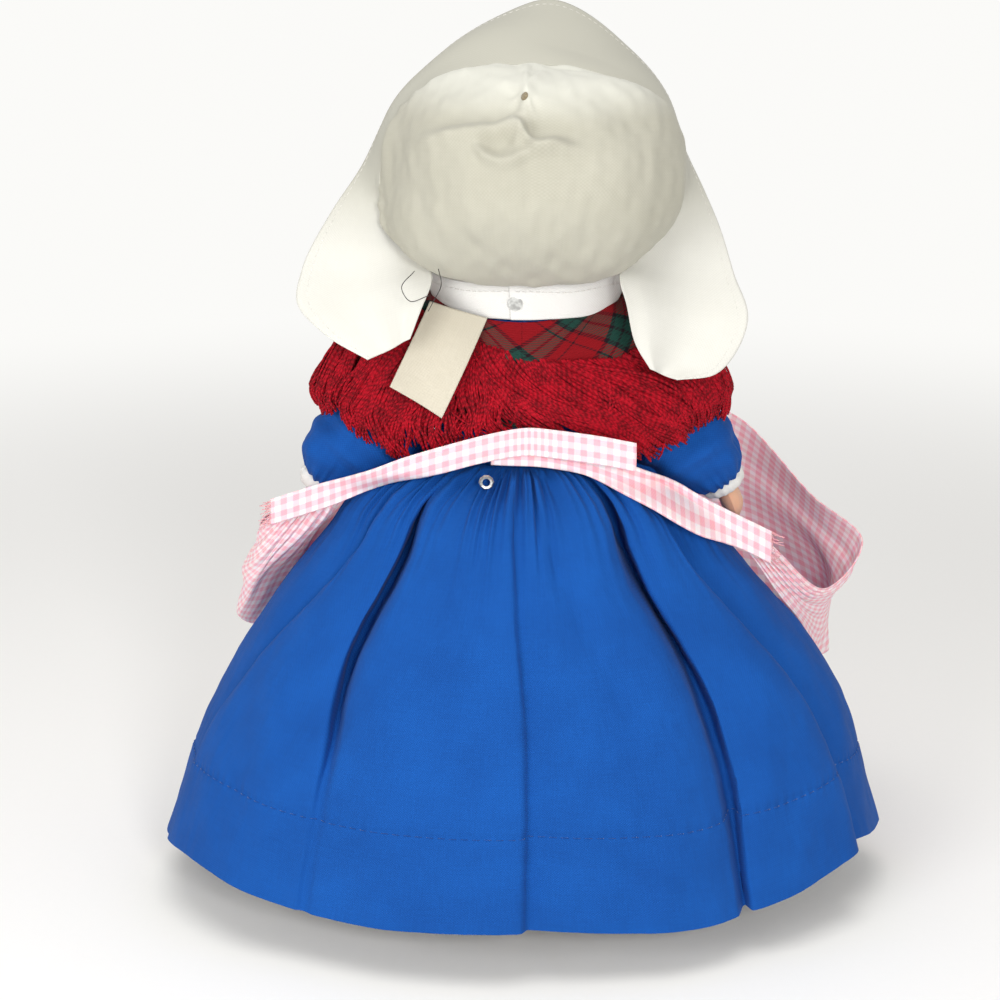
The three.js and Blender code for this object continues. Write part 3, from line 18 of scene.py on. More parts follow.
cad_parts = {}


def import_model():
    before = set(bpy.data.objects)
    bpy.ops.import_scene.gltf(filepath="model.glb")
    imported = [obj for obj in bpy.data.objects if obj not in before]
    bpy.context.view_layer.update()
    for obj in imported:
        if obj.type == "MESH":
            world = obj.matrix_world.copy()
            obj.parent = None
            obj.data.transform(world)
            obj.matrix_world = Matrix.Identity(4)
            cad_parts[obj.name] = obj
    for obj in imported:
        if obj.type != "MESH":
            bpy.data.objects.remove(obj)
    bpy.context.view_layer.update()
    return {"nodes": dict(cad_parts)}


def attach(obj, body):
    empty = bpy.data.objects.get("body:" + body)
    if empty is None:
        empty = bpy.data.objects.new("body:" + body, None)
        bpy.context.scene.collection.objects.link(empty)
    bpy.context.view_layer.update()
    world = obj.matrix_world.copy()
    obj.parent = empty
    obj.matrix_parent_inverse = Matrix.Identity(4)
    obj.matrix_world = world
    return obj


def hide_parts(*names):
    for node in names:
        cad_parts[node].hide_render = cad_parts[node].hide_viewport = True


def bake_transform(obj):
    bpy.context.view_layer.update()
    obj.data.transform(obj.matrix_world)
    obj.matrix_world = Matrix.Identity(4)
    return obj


Array = np.ndarray
MM = 0.001
TAU = 2 * math.pi
CLOTH_UV = "Cloth"
WAIST_Z, SHOULDER_Z, NECK_Z, CHIN_Z, HEAD_HEIGHT = 105.0, 133.0, 140.0, 147.5, 42.0
# A direction that no thread of the doll runs along
OFF_AXIS = (0.31, 0.87, 0.38)
log = logging.getLogger("doll")


class Side(Enum):
    """The doll's own sides, with the sign of X on each."""

    LEFT = 1
    RIGHT = -1

    @property
    def label(self) -> str:
        """The side's word in node names."""
        return self.name.lower()


def ease(value: Array | float, low: float, high: float) -> Array:
    """Smooth step.

    Args:
        value: where to take it.
        low: the place that gives 0.
        high: the place that gives 1.

    Returns:
        The step's height at each value.
    """
    t = np.clip((np.asarray(value, float) - low) / (high - low), 0, 1)
    return t * t * (3 - 2 * t)


def hill(value: Array, middle: float, width: float) -> Array:
    """A smooth bump of height 1 about a middle."""
    return np.exp(-(((value - middle) / width) ** 2))


def follow(places: Sequence[float], values: Sequence, at: Array | float) -> Array:
    """Smooth curve through values at rising places.

    Args:
        places: rising places of the knots.
        values: a number or a point at each place.
        at: where the curve is wanted, kept inside the places.

    Returns:
        Values in the shape of `at`, with one more axis for points.
    """
    knots, known = np.asarray(places, float), np.asarray(values, float)
    at = np.clip(np.asarray(at, float), knots[0], knots[-1])
    slopes = np.gradient(known, knots, axis=0)
    i = np.clip(np.searchsorted(knots, at, side="right") - 1, 0, len(knots) - 2)
    span = knots[i + 1] - knots[i]
    t = (at - knots[i]) / span
    if known.ndim > 1:
        t, span = t[..., None], span[..., None]
    t2, t3 = t * t, t * t * t
    start = (2 * t3 - 3 * t2 + 1) * known[i] + (t3 - 2 * t2 + t) * span * slopes[i]
    return start + (3 * t2 - 2 * t3) * known[i + 1] + (t3 - t2) * span * slopes[i + 1]


def lengths(points: Array) -> Array:
    """Distance along a path of points to each of them."""
    return np.concatenate([[0], np.cumsum(np.linalg.norm(np.diff(points, axis=0), axis=1))])


def along(points: Sequence, at: Array | float) -> Array:
    """Smooth path through points, taken by its share of length from 0 to 1."""
    knots = np.asarray(points, float)
    steps = lengths(knots)
    return follow(steps / steps[-1], knots, at)


def across(rows: int, columns: int) -> tuple[Array, Array]:
    """Shares down and across a cloth.

    Args:
        rows: points down it.
        columns: points across it.

    Returns:
        Two arrays of rows by columns, each running from 0 to 1.
    """
    return np.meshgrid(np.linspace(0, 1, rows), np.linspace(0, 1, columns), indexing="ij")


def stack(*parts: Array) -> Array:
    """Coordinates side by side on a new last axis."""
    return np.stack(parts, -1)


def unit(vectors: Array) -> Array:
    """Vectors along the last axis, brought to a length of 1."""
    return vectors / np.maximum(np.linalg.norm(vectors, axis=-1, keepdims=True), 1e-9)


def outward(points: Array) -> Array:
    """Unit normals of a grid of points, from the cross product of its two directions."""
    return unit(np.cross(np.gradient(points, axis=0), np.gradient(points, axis=1)))


def raised(points: Array, way: Array, height: Array) -> Array:
    """Points moved along a direction by a height at each of them."""
    return points + way * height[..., None]


def rim_snap(r: Array, where: Array, near: float) -> tuple[Array, Array, Array]:
    """Draws the points close to an oval onto its rim, so that a hole gets a clean edge.

    Args:
        r: distance from the oval's middle, 1 at its rim.
        where: the points that may be drawn or left out.
        near: how close to the rim a point is drawn.

    Returns:
        Which points are drawn, the scale that draws each, and which lie in the hole.
    """
    snap = where & (np.abs(r - 1) < near)
    return snap, np.where(snap, 1 / np.maximum(r, 0.2), 1.0), where & (r < 0.999) & ~snap


class Wander:
    """Seeded smooth noise: a sum of sine waves whose lengths lie between two limits, with an RMS of 1."""

    def __init__(self, seed: int, short: float, long: float, axes: int = 2, waves: int = 14) -> None:
        """Draws the waves.

        Args:
            seed: which noise.
            short: shortest wave.
            long: longest wave.
            axes: how many coordinates it takes.
            waves: how many waves are summed.
        """
        rng = np.random.default_rng(seed)
        length = np.exp(rng.uniform(math.log(short), math.log(long), waves))
        way = rng.normal(size=(waves, axes))
        self.turns = TAU * way / np.linalg.norm(way, axis=1, keepdims=True) / length[:, None]
        self.phase = rng.uniform(0, TAU, waves)
        self.size = length / math.sqrt(float((length**2).sum()) / 2)

    def __call__(self, *places: Array) -> Array:
        """The noise at one array of places for each axis."""
        total = 0.0
        for turns, phase, size in zip(self.turns, self.phase, self.size):
            total = total + size * np.sin(sum(t * p for t, p in zip(turns, places)) + phase)
        return total

    def at(self, points: Array) -> Array:
        """The noise at points, whose coordinates lie on their last axis."""
        return self(*np.moveaxis(points, -1, 0))


class Form:
    """Makes meshes from arrays of points in millimetres."""

    @staticmethod
    def mesh(name: str, points: Array, quads: Array, uv: Array | None = None) -> bpy.types.Object:
        """One smooth mesh of four-sided faces.

        Args:
            name: the piece's name.
            points: its vertices, N by 3, in millimetres.
            quads: its faces, M by 4.
            uv: places on the cloth for each face corner, M by 4 by 2, in metres.

        Returns:
            The new object, linked to the scene.
        """
        made = bpy.data.meshes.new(name)
        made.vertices.add(len(points))
        made.vertices.foreach_set("co", (points * MM).astype(np.float32).ravel())
        made.loops.add(quads.size)
        made.loops.foreach_set("vertex_index", quads.astype(np.int32).ravel())
        made.polygons.add(len(quads))
        made.polygons.foreach_set("loop_start", np.arange(0, quads.size, 4, dtype=np.int32))
        made.polygons.foreach_set("use_smooth", np.ones(len(quads), bool))
        if uv is not None:
            layer = made.uv_layers.new(name=CLOTH_UV)
            layer.data.foreach_set("uv", uv.astype(np.float32).ravel())
        made.update(calc_edges=True)
        made.validate()
        piece = bpy.data.objects.new(name, made)
        bpy.context.scene.collection.objects.link(piece)
        return piece

    @staticmethod
    def grid(name: str, points: Array, uv: Array, wrap: bool = False, skip: Array | None = None) -> bpy.types.Object:
        """A sheet or, wrapped, a tube.

        Args:
            name: the piece's name.
            points: rows by columns by 3. A wrapped grid leaves out the column that meets the first.
            uv: places on the cloth in millimetres, with one more column if wrapped.
            wrap: whether the last column joins the first.
            skip: points whose faces are left out, as a hole.

        Returns:
            The new object.
        """
        rows, columns = points.shape[:2]
        index = np.arange(rows * columns).reshape(rows, columns)
        if wrap:
            index = np.concatenate([index, index[:, :1]], axis=1)
        corners = [(slice(None, -1), slice(None, -1)), (slice(1, None), slice(None, -1)),
                   (slice(1, None), slice(1, None)), (slice(None, -1), slice(1, None))]
        quads = np.stack([index[c] for c in corners], axis=-1).reshape(-1, 4)
        places = np.stack([uv[c] for c in corners], axis=2).reshape(-1, 4, 2)
        if skip is not None:
            kept = ~skip.ravel()[quads].any(axis=1)
            quads, places = quads[kept], places[kept]
            used, flat = np.unique(quads, return_inverse=True)
            return Form.mesh(name, points.reshape(-1, 3)[used], flat.reshape(-1, 4), places * MM)
        return Form.mesh(name, points.reshape(-1, 3), quads, places * MM)

    @staticmethod
    def dome(name: str, middle: Sequence[float], way: Sequence[float], radius: float) -> bpy.types.Object:
        """A small round button, domed along a direction."""
        up = unit(np.asarray(way, float))
        side = unit(np.cross(up, (0.3, 1.0, 0.2)))
        rise, turn = across(13, 33)
        angle, out = turn * TAU, np.sin(rise * math.pi) ** 0.7 * radius
        high = -np.cos(rise * math.pi) * radius * 0.35
        ring = side * np.cos(angle)[..., None] + np.cross(up, side) * np.sin(angle)[..., None]
        points = np.asarray(middle, float) + ring * out[..., None] + up * high[..., None]
        return Form.grid(name, points, stack(turn, rise))

    @staticmethod
    def strands(name: str, paths: Array, radius: Array | float, sides: int = 5) -> bpy.types.Object:
        """Many threads as one mesh.

        Args:
            name: the piece's name.
            paths: strands by points by 3.
            radius: one radius, or strands by points.
            sides: corners round each thread.

        Returns:
            The new object.
        """
        count, steps = paths.shape[:2]
        run = unit(np.gradient(paths, axis=1))
        side = unit(np.cross(run, OFF_AXIS))
        rise = np.cross(side, run)
        size = np.broadcast_to(np.asarray(radius, float), (count, steps))[..., None, None]
        angle = np.arange(sides) / sides * TAU
        ring = side[:, :, None] * np.cos(angle)[:, None] + rise[:, :, None] * np.sin(angle)[:, None]
        rings = paths[:, :, None] + ring * size
        rings = np.concatenate([paths[:, :1, None].repeat(sides, 2), rings, paths[:, -1:, None].repeat(sides, 2)], 1)
        index = np.arange(rings[..., 0].size).reshape(count, steps + 2, sides)
        nxt = np.roll(index, -1, axis=2)
        quads = np.stack([index[:, :-1], nxt[:, :-1], nxt[:, 1:], index[:, 1:]], axis=-1).reshape(-1, 4)
        total = np.linalg.norm(np.diff(paths, axis=1), axis=2).sum(1)[:, None, None]
        length = np.linspace(0, 1, steps + 2)[None, :, None] * total
        place = np.stack(np.broadcast_arrays(np.arange(sides) * 0.2, length), axis=-1)
        uv = np.stack([place[:, :-1], place[:, :-1], place[:, 1:], place[:, 1:]], axis=3).reshape(-1, 4, 2)
        return Form.mesh(name, rings.reshape(-1, 3), quads, uv * MM)

    @staticmethod
    def stitches(name: str, line: Array, lift: Array, pitch: float, radius: float) -> bpy.types.Object:
        """A row of running stitches.

        Args:
            name: the piece's name.
            line: points that the row follows.
            lift: directions out of the cloth at those points.
            pitch: distance from one stitch to the next.
            radius: the thread's radius.

        Returns:
            The new object.
        """
        steps = lengths(line)
        starts = np.arange(0, steps[-1] - pitch, pitch)
        shown = 0.62
        share = np.linspace(0, shown, 5)
        at = (starts[:, None] + share * pitch).ravel()
        paths = np.stack([np.interp(at, steps, line[:, k]) for k in range(3)], -1)
        out = np.stack([np.interp(at, steps, lift[:, k]) for k in range(3)], -1)
        arch = np.tile(np.sin(share / shown * math.pi) * radius * 1.2, len(starts))
        paths = paths + out * arch[:, None]
        return Form.strands(name, paths.reshape(len(starts), 5, 3), radius, 5)

    @staticmethod
    def thicken(piece: bpy.types.Object, thickness: float, offset: float = 0.0) -> None:
        """Gives a sheet the thickness of its cloth."""
        solid = piece.modifiers.new("thickness", "SOLIDIFY")
        solid.thickness = thickness * MM
        solid.offset = offset


class Tap:
    """A shader socket that takes part in Python arithmetic."""

    def __init__(self, paint: Paint, socket: bpy.types.NodeSocket) -> None:
        """Wraps an output socket of a material's tree."""
        self.paint, self.socket = paint, socket

    def maths(self, operation: str, *others: Tap | float) -> Tap:
        """This value and others through one Math node."""
        return self.paint.node("ShaderNodeMath", {"operation": operation}, dict(enumerate((self, *others))))

    def _after(self, operation: str, first: float) -> Tap:
        """A number first and this value second through one Math node."""
        return self.paint.node("ShaderNodeMath", {"operation": operation}, {0: first, 1: self})

    def __add__(self, other: Tap | float) -> Tap:
        """Sum."""
        return self.maths("ADD", other)

    __radd__ = __add__

    def __mul__(self, other: Tap | float) -> Tap:
        """Product."""
        return self.maths("MULTIPLY", other)

    __rmul__ = __mul__

    def __sub__(self, other: Tap | float) -> Tap:
        """Difference."""
        return self.maths("SUBTRACT", other)

    def __rsub__(self, other: float) -> Tap:
        """Difference from a number."""
        return self._after("SUBTRACT", other)

    def __truediv__(self, other: Tap | float) -> Tap:
        """Quotient."""
        return self.maths("DIVIDE", other)

    def __pow__(self, other: float) -> Tap:
        """Power."""
        return self.maths("POWER", other)

    def __mod__(self, other: float) -> Tap:
        """Remainder that stays positive."""
        return self.maths("FLOORED_MODULO", other)

    def __abs__(self) -> Tap:
        """Size without sign."""
        return self.maths("ABSOLUTE")

    def sine(self) -> Tap:
        """Sine."""
        return self.maths("SINE")

    def step(self, low: float, high: float) -> Tap:
        """Smooth step from 0 at low to 1 at high."""
        return self.paint.node("ShaderNodeMapRange", {"interpolation_type": "SMOOTHSTEP"},
                               {0: self, 1: low, 2: high, 3: 0.0, 4: 1.0})


Colour = tuple[float, float, float]


class Paint:
    """One material's node tree and the node-making method that fills it."""

    def __init__(self, name: str) -> None:
        """Starts an empty material."""
        self.material = bpy.data.materials.new(name)
        self.material.use_nodes = True
        self.tree = self.material.node_tree
        self.tree.nodes.clear()

    def node(self, kind: str, settings: dict | None = None, inputs: dict | None = None, out: int | str = 0) -> Tap:
        """Adds a node.

        Args:
            kind: the node's type.
            settings: properties to set first; a ramp's stops go under "stops".
            inputs: values or taps for its sockets, by index or name.
            out: which output is wanted.

        Returns:
            A tap on that output.
        """
        made = self.tree.nodes.new(kind)
        for key, value in (settings or {}).items():
            if key == "stops":
                self._stops(made.color_ramp, value)
            else:
                setattr(made, key, value)
        for key, value in (inputs or {}).items():
            if isinstance(value, Tap):
                self.tree.links.new(value.socket, made.inputs[key])
            elif isinstance(value, tuple) and made.inputs[key].type == "RGBA":
                made.inputs[key].default_value = (*value, 1.0)
            else:
                made.inputs[key].default_value = value
        return Tap(self, made.outputs[out])

    @staticmethod
    def _stops(ramp: bpy.types.ColorRamp, stops: Sequence[tuple[float, Colour]]) -> None:
        """Sets a ramp's stops."""
        while len(ramp.elements) < len(stops):
            ramp.elements.new(1.0)
        for element, (place, colour) in zip(ramp.elements, stops):
            element.position = place
            element.color = (*colour, 1.0)

    def cloth(self) -> tuple[Tap, Tap]:
        """Places across and down the cloth, in millimetres."""
        uv = self.node("ShaderNodeUVMap", {"uv_map": CLOTH_UV})
        parts = [self.node("ShaderNodeSeparateXYZ", None, {0: uv}, k) for k in (0, 1)]
        return parts[0] * 1000.0, parts[1] * 1000.0

    def place(self) -> tuple[Tap, Tap, Tap]:
        """The point's place on its own piece, in millimetres."""
        own = self.node("ShaderNodeTexCoord", None, None, "Object")
        return tuple(self.node("ShaderNodeSeparateXYZ", None, {0: own}, k) * 1000.0 for k in range(3))

    def vector(self, x: Tap | float, y: Tap | float, z: Tap | float = 0.0) -> Tap:
        """Three values as a vector."""
        return self.node("ShaderNodeCombineXYZ", None, {0: x, 1: y, 2: z})

    def noise(self, where: Tap, scale: float, detail: float = 3.0) -> Tap:
        """Noise from 0 to 1 at a vector."""
        return self.node("ShaderNodeTexNoise", None, {"Vector": where, "Scale": scale, "Detail": detail}, "Fac")

    def mix(self, share: Tap | float, first: Tap | Colour, second: Tap | Colour) -> Tap:
        """Two colours mixed by a share."""
        return self.node("ShaderNodeMix", {"data_type": "RGBA"}, {0: share, 6: first, 7: second}, 2)

    def bump(self, height: Tap, strength: float, distance: float = 0.2) -> Tap:
        """A normal from a height, with its distance in millimetres."""
        return self.node("ShaderNodeBump", None, {"Height": height, "Strength": strength, "Distance": distance * MM})

    def finish(self, **sockets: Tap | float | Colour) -> bpy.types.Material:
        """Closes the tree with a principled shader.

        Args:
            sockets: its socket values, with _ for the spaces in their names.

        Returns:
            The finished material.
        """
        inputs = {key.replace("_", " "): value for key, value in sockets.items()}
        shader = self.node("ShaderNodeBsdfPrincipled", None, inputs)
        self.node_output(shader)
        return self.material

    def node_output(self, shader: Tap) -> None:
        """Links a shader to the material's surface."""
        output = self.tree.nodes.new("ShaderNodeOutputMaterial")
        self.tree.links.new(shader.socket, output.inputs["Surface"])


def weave(paint: Paint, u: Tap, v: Tap, pitch: float) -> Tap:
    """Height of a plain weave.

    Args:
        paint: the material.
        u: place across the cloth in millimetres.
        v: place down the cloth in millimetres.
        pitch: distance between threads in millimetres.

    Returns:
        A height about 0 to 1, with slubs.
    """
    warp, weft = (u * (math.pi / pitch)).sine(), (v * (math.pi / pitch)).sine()
    slub = paint.noise(paint.vector(u * 0.16, v * 2.4), 1.0) + paint.noise(paint.vector(u * 2.4, v * 0.16), 1.0)
    return warp * weft * 0.35 + slub * 0.5


@dataclass(frozen=True)
class Cotton:
    """Plain woven cotton of one colour, with an optional band of painted light and shade above a height."""

    name: str
    colour: Colour
    shade: Colour
    pitch: float = 0.3
    rough: float = 0.85
    sheen: float = 0.25
    relief: float = 0.5
    # thin holds painted light and shade: a tone, and the heights over which the cloth turns to it
    thin: tuple[Colour, float, float] | None = None

    def make(self) -> bpy.types.Material:
        """The cloth as a material, turned to another tone above a height as painted light and shade."""
        paint = Paint(self.name)
        u, v = paint.cloth()
        threads = weave(paint, u, v, self.pitch)
        patch = paint.noise(paint.vector(u, v), 0.06, 4.0)
        tone = paint.mix((threads * 0.55 + patch * 0.6).step(0.25, 0.95), self.shade, self.colour)
        # Painted light and shade: above the given heights the cloth turns to another tone
        if self.thin:
            tone = paint.mix(paint.place()[2].step(*self.thin[1:]), tone, self.thin[0])
        return paint.finish(
            Base_Color=tone, Roughness=self.rough, Normal=paint.bump(threads, self.relief, 0.12),
            Sheen_Weight=self.sheen, Sheen_Roughness=0.45, Specular_IOR_Level=0.15)


@dataclass(frozen=True)
class Gingham:
    """Small two-colour checks woven from equal bands."""

    name: str
    pale: Colour
    tint: Colour
    check: float = 3.0

    def make(self) -> bpy.types.Material:
        """The cloth as a material."""
        paint = Paint(self.name)
        u, v = paint.cloth()
        soft = self.check * 0.04
        bands = []
        for place in (u, v):
            wave = abs(place % self.check - self.check / 2)
            bands.append(wave.step(self.check / 4 - soft, self.check / 4 + soft))
        threads = weave(paint, u, v, 0.28)
        both = bands[0] * 0.5 + bands[1] * 0.5
        tone = paint.mix(both, self.pale, self.tint)
        worn = paint.mix(threads * 0.22, tone, self.pale)
        return paint.finish(
            Base_Color=worn, Roughness=0.85, Normal=paint.bump(threads, 0.45, 0.1),
            Subsurface_Weight=0.3, Subsurface_Scale=0.002, Specular_IOR_Level=0.15)


@dataclass(frozen=True)
class Plaid:
    """A common check of red, green and black bands in twill."""

    name: str
    red: Colour = (0.24, 0.006, 0.010)
    green: Colour = (0.010, 0.055, 0.042)
    black: Colour = (0.012, 0.008, 0.012)
    sett: float = 15.0

    def bands(self, paint: Paint, place: Tap) -> Tap:
        """Colours of the threads in one direction, as bands that repeat."""
        share = place / self.sett % 1.0
        stops = [(0.0, self.red), (0.3, self.black), (0.36, self.green), (0.5, self.black), (0.54, self.green),
                 (0.68, self.black), (0.74, self.red), (0.86, self.black), (0.89, self.red)]
        return paint.node("ShaderNodeValToRGB", {"stops": stops}, {0: share})

    def make(self) -> bpy.types.Material:
        """The cloth as a material."""
        paint = Paint(self.name)
        u, v = paint.cloth()
        for ramp in (warp := self.bands(paint, u), weft := self.bands(paint, v)):
            ramp.socket.node.color_ramp.interpolation = "CONSTANT"
        twill = ((u + v) * (math.pi / 0.45)).sine()
        tone = paint.mix((twill * 0.3 + 0.5), warp, weft)
        fuzz = paint.noise(paint.vector(u, v), 2.2, 4.0)
        cloth = paint.mix(fuzz * 0.2, tone, (0.04, 0.006, 0.008))
        return paint.finish(
            Base_Color=cloth, Roughness=0.95, Normal=paint.bump(twill * 0.4 + fuzz, 0.6, 0.2),
            Sheen_Weight=0.03, Sheen_Roughness=0.5, Specular_IOR_Level=0.1)


@dataclass(frozen=True)
class Yarn:
    """Spun or drawn fibre, for fringe, hair and sewing thread."""

    name: str
    colour: Colour
    shade: Colour
    rough: float = 0.8
    sheen: float = 0.35
    twist: float = 1.1

    def make(self) -> bpy.types.Material:
        """The fibre as a material."""
        paint = Paint(self.name)
        u, v = paint.cloth()
        ply = ((u * 6.0 + v / self.twist) * TAU).sine()
        x, y, z = paint.place()
        patch = paint.noise(paint.vector(x, y, z), 0.35, 3.0)
        tone = paint.mix((ply * 0.18 + patch * 1.1).step(0.2, 0.9), self.shade, self.colour)
        return paint.finish(
            Base_Color=tone, Roughness=self.rough, Normal=paint.bump(ply, 0.5, 0.12),
            Sheen_Weight=self.sheen, Sheen_Roughness=0.4, Specular_IOR_Level=0.15)


@dataclass(frozen=True)
class Moulded:
    """Moulded plastic or vinyl with faint flow marks and handling wear."""

    name: str
    colour: Colour
    shade: Colour
    rough: float = 0.38
    coat: float = 0.0
    soft: float = 0.0

    def make(self) -> bpy.types.Material:
        """The plastic as a material."""
        paint = Paint(self.name)
        spot = paint.vector(*paint.place())
        cloud, grain = paint.noise(spot, 0.08, 4.0), paint.noise(spot, 1.6, 3.0)
        tone = paint.mix(cloud.step(0.3, 0.75), self.shade, self.colour)
        return paint.finish(
            Base_Color=tone, Roughness=grain * 0.18 + (self.rough - 0.09), Normal=paint.bump(grain, 0.08, 0.1),
            Coat_Weight=self.coat, Subsurface_Weight=self.soft, Subsurface_Radius=(1.0, 0.4, 0.25),
            Subsurface_Scale=0.0012)


@dataclass(frozen=True)
class Plated:
    """Plated or cast metal with fine scratches and dull patches."""

    name: str
    colour: Colour
    rough: float = 0.3

    def make(self) -> bpy.types.Material:
        """The metal as a material."""
        paint = Paint(self.name)
        x, y, z = paint.place()
        dull = paint.noise(paint.vector(x, y, z), 0.9, 4.0)
        scratch = paint.noise(paint.vector(x * 9.0, y, z * 0.6), 1.0, 2.0)
        dark = tuple(c * 0.55 for c in self.colour)
        return paint.finish(
            Base_Color=paint.mix(dull.step(0.35, 0.7), dark, self.colour), Metallic=1.0,
            Roughness=dull * 0.3 + self.rough, Normal=paint.bump(scratch, 0.12, 0.05))


@dataclass(frozen=True)
class Face:
    """Moulded skin with a painted face: brows, upper lashes, lips and blushed cheeks."""

    name: str
    skin: Colour = (0.80, 0.47, 0.32)
    shade: Colour = (0.76, 0.42, 0.27)
    lips: Colour = (0.55, 0.06, 0.06)
    brow: Colour = (0.16, 0.075, 0.03)
    blush: Colour = (0.78, 0.25, 0.18)
    line: Colour = (0.05, 0.022, 0.012)
    parting: Colour = (0.2, 0.015, 0.02)
    eye: tuple[float, float] = (8.6, 17.64)

    # Places across and up from the chin, and half sizes of an eye's opening
    CHEEK, MOUTH_UP, BROW, OPENING = (10.5, 10.4), 6.75, (8.6, 24.6), (4.4, 3.4)

    def make(self) -> bpy.types.Material:
        """The painted skin as a material."""
        paint = Paint(self.name)
        x, y, z = paint.place()
        spot = paint.vector(x, y, z)
        cloud, grain = paint.noise(spot, 0.08, 4.0), paint.noise(spot, 1.6, 3.0)
        wide, up = abs(x), z - CHIN_Z
        front = (y * -1.0).step(2.0, 5.0)
        tone = paint.mix(cloud.step(0.3, 0.75), self.shade, self.skin)
        cheek = 1.0 - (((wide - self.CHEEK[0]) / 6.5) ** 2.0 + (abs(up - self.CHEEK[1]) / 5.0) ** 2.0).step(0.05, 1.0)
        tone = paint.mix(cheek * front * 0.55, tone, self.blush)
        bow = up - self.MOUTH_UP - wide * wide * 0.075 + (1.0 - wide.step(0.0, 1.0)) * 0.22
        mouth = 1.0 - ((wide / 3.7) ** 2.0 + (abs(bow) / 1.25) ** 2.0).step(0.8, 1.05)
        parting = 1.0 - abs(bow + 0.05).step(0.08, 0.22)
        lip = paint.mix(parting * 0.6, self.lips, self.parting)
        tone = paint.mix(mouth * front, tone, lip)
        arch = abs(up - self.BROW[1] + (wide - self.BROW[0]) * (wide - self.BROW[0]) * 0.055)
        reach = 1.0 - abs(wide - 8.8).step(3.6, 4.9)
        hairs = paint.noise(paint.vector(x * 3.0, 0.0, z * 0.8), 1.0, 2.0)
        brows = (1.0 - (arch + hairs * 0.25).step(0.35, 0.62)) * reach
        tone = paint.mix(brows * front * 0.85, tone, self.brow)
        dx, dz = (wide - self.eye[0]) / self.OPENING[0], up - self.eye[1]
        rim = (dx * dx + (dz / ((1.08 - dx * dx * 0.3) * self.OPENING[1])) ** 2.0) ** 0.5
        upper = dz.step(0.6, 1.5)
        ray = paint.node("ShaderNodeMath", {"operation": "ARCTAN2"}, {0: dz, 1: dx * self.OPENING[0]})
        strokes = (ray * 27.0).sine().step(0.45, 0.9) * (1.0 - rim.step(1.2, 1.45)) * rim.step(1.0, 1.1)
        lined = (1.0 - rim.step(1.1, 1.17)) * upper + strokes * upper * 0.8
        tone = paint.mix(lined.step(0.05, 0.6) * front * 0.9, tone, self.line)
        return paint.finish(
            Base_Color=tone, Roughness=grain * 0.18 + 0.32 - mouth * front * 0.12, Normal=paint.bump(grain, 0.08, 0.1),
            Subsurface_Weight=0.2, Subsurface_Radius=(1.0, 0.4, 0.25), Subsurface_Scale=0.0012)


@dataclass(frozen=True)
class Iris:
    """A glassy eye with a brown iris, painted about the middle of either eye."""

    name: str
    middle: tuple[float, float] = (8.6, 165.14)
    white: Colour = (0.84, 0.83, 0.80)
    inner: Colour = (0.30, 0.13, 0.045)
    outer: Colour = (0.09, 0.036, 0.012)

    # Radii between which the pupil ends, and the iris
    PUPIL, EDGE = (1.25, 1.42), (2.85, 3.05)

    def make(self) -> bpy.types.Material:
        """The eye as a material."""
        paint = Paint(self.name)
        x, y, z = paint.place()
        dx, dz = abs(x) - self.middle[0], z - self.middle[1]
        away = (dx * dx + dz * dz) ** 0.5
        ray = paint.node("ShaderNodeMath", {"operation": "ARCTAN2"}, {0: dz, 1: dx})
        streak = paint.noise(paint.vector(ray * 5.0, away * 0.4), 1.0, 3.0)
        ring = paint.mix((away + streak * 0.9).step(1.4, 3.2), self.inner, self.outer)
        tone = paint.mix(away.step(*self.EDGE), ring, self.white)
        tone = paint.mix(away.step(*self.PUPIL), (0.003, 0.003, 0.003), tone)
        front = (y * -1.0).step(11.0, 12.5)
        return paint.finish(
            Base_Color=paint.mix(front, self.white, tone), Roughness=0.14 + streak * 0.05, Coat_Weight=0.35)


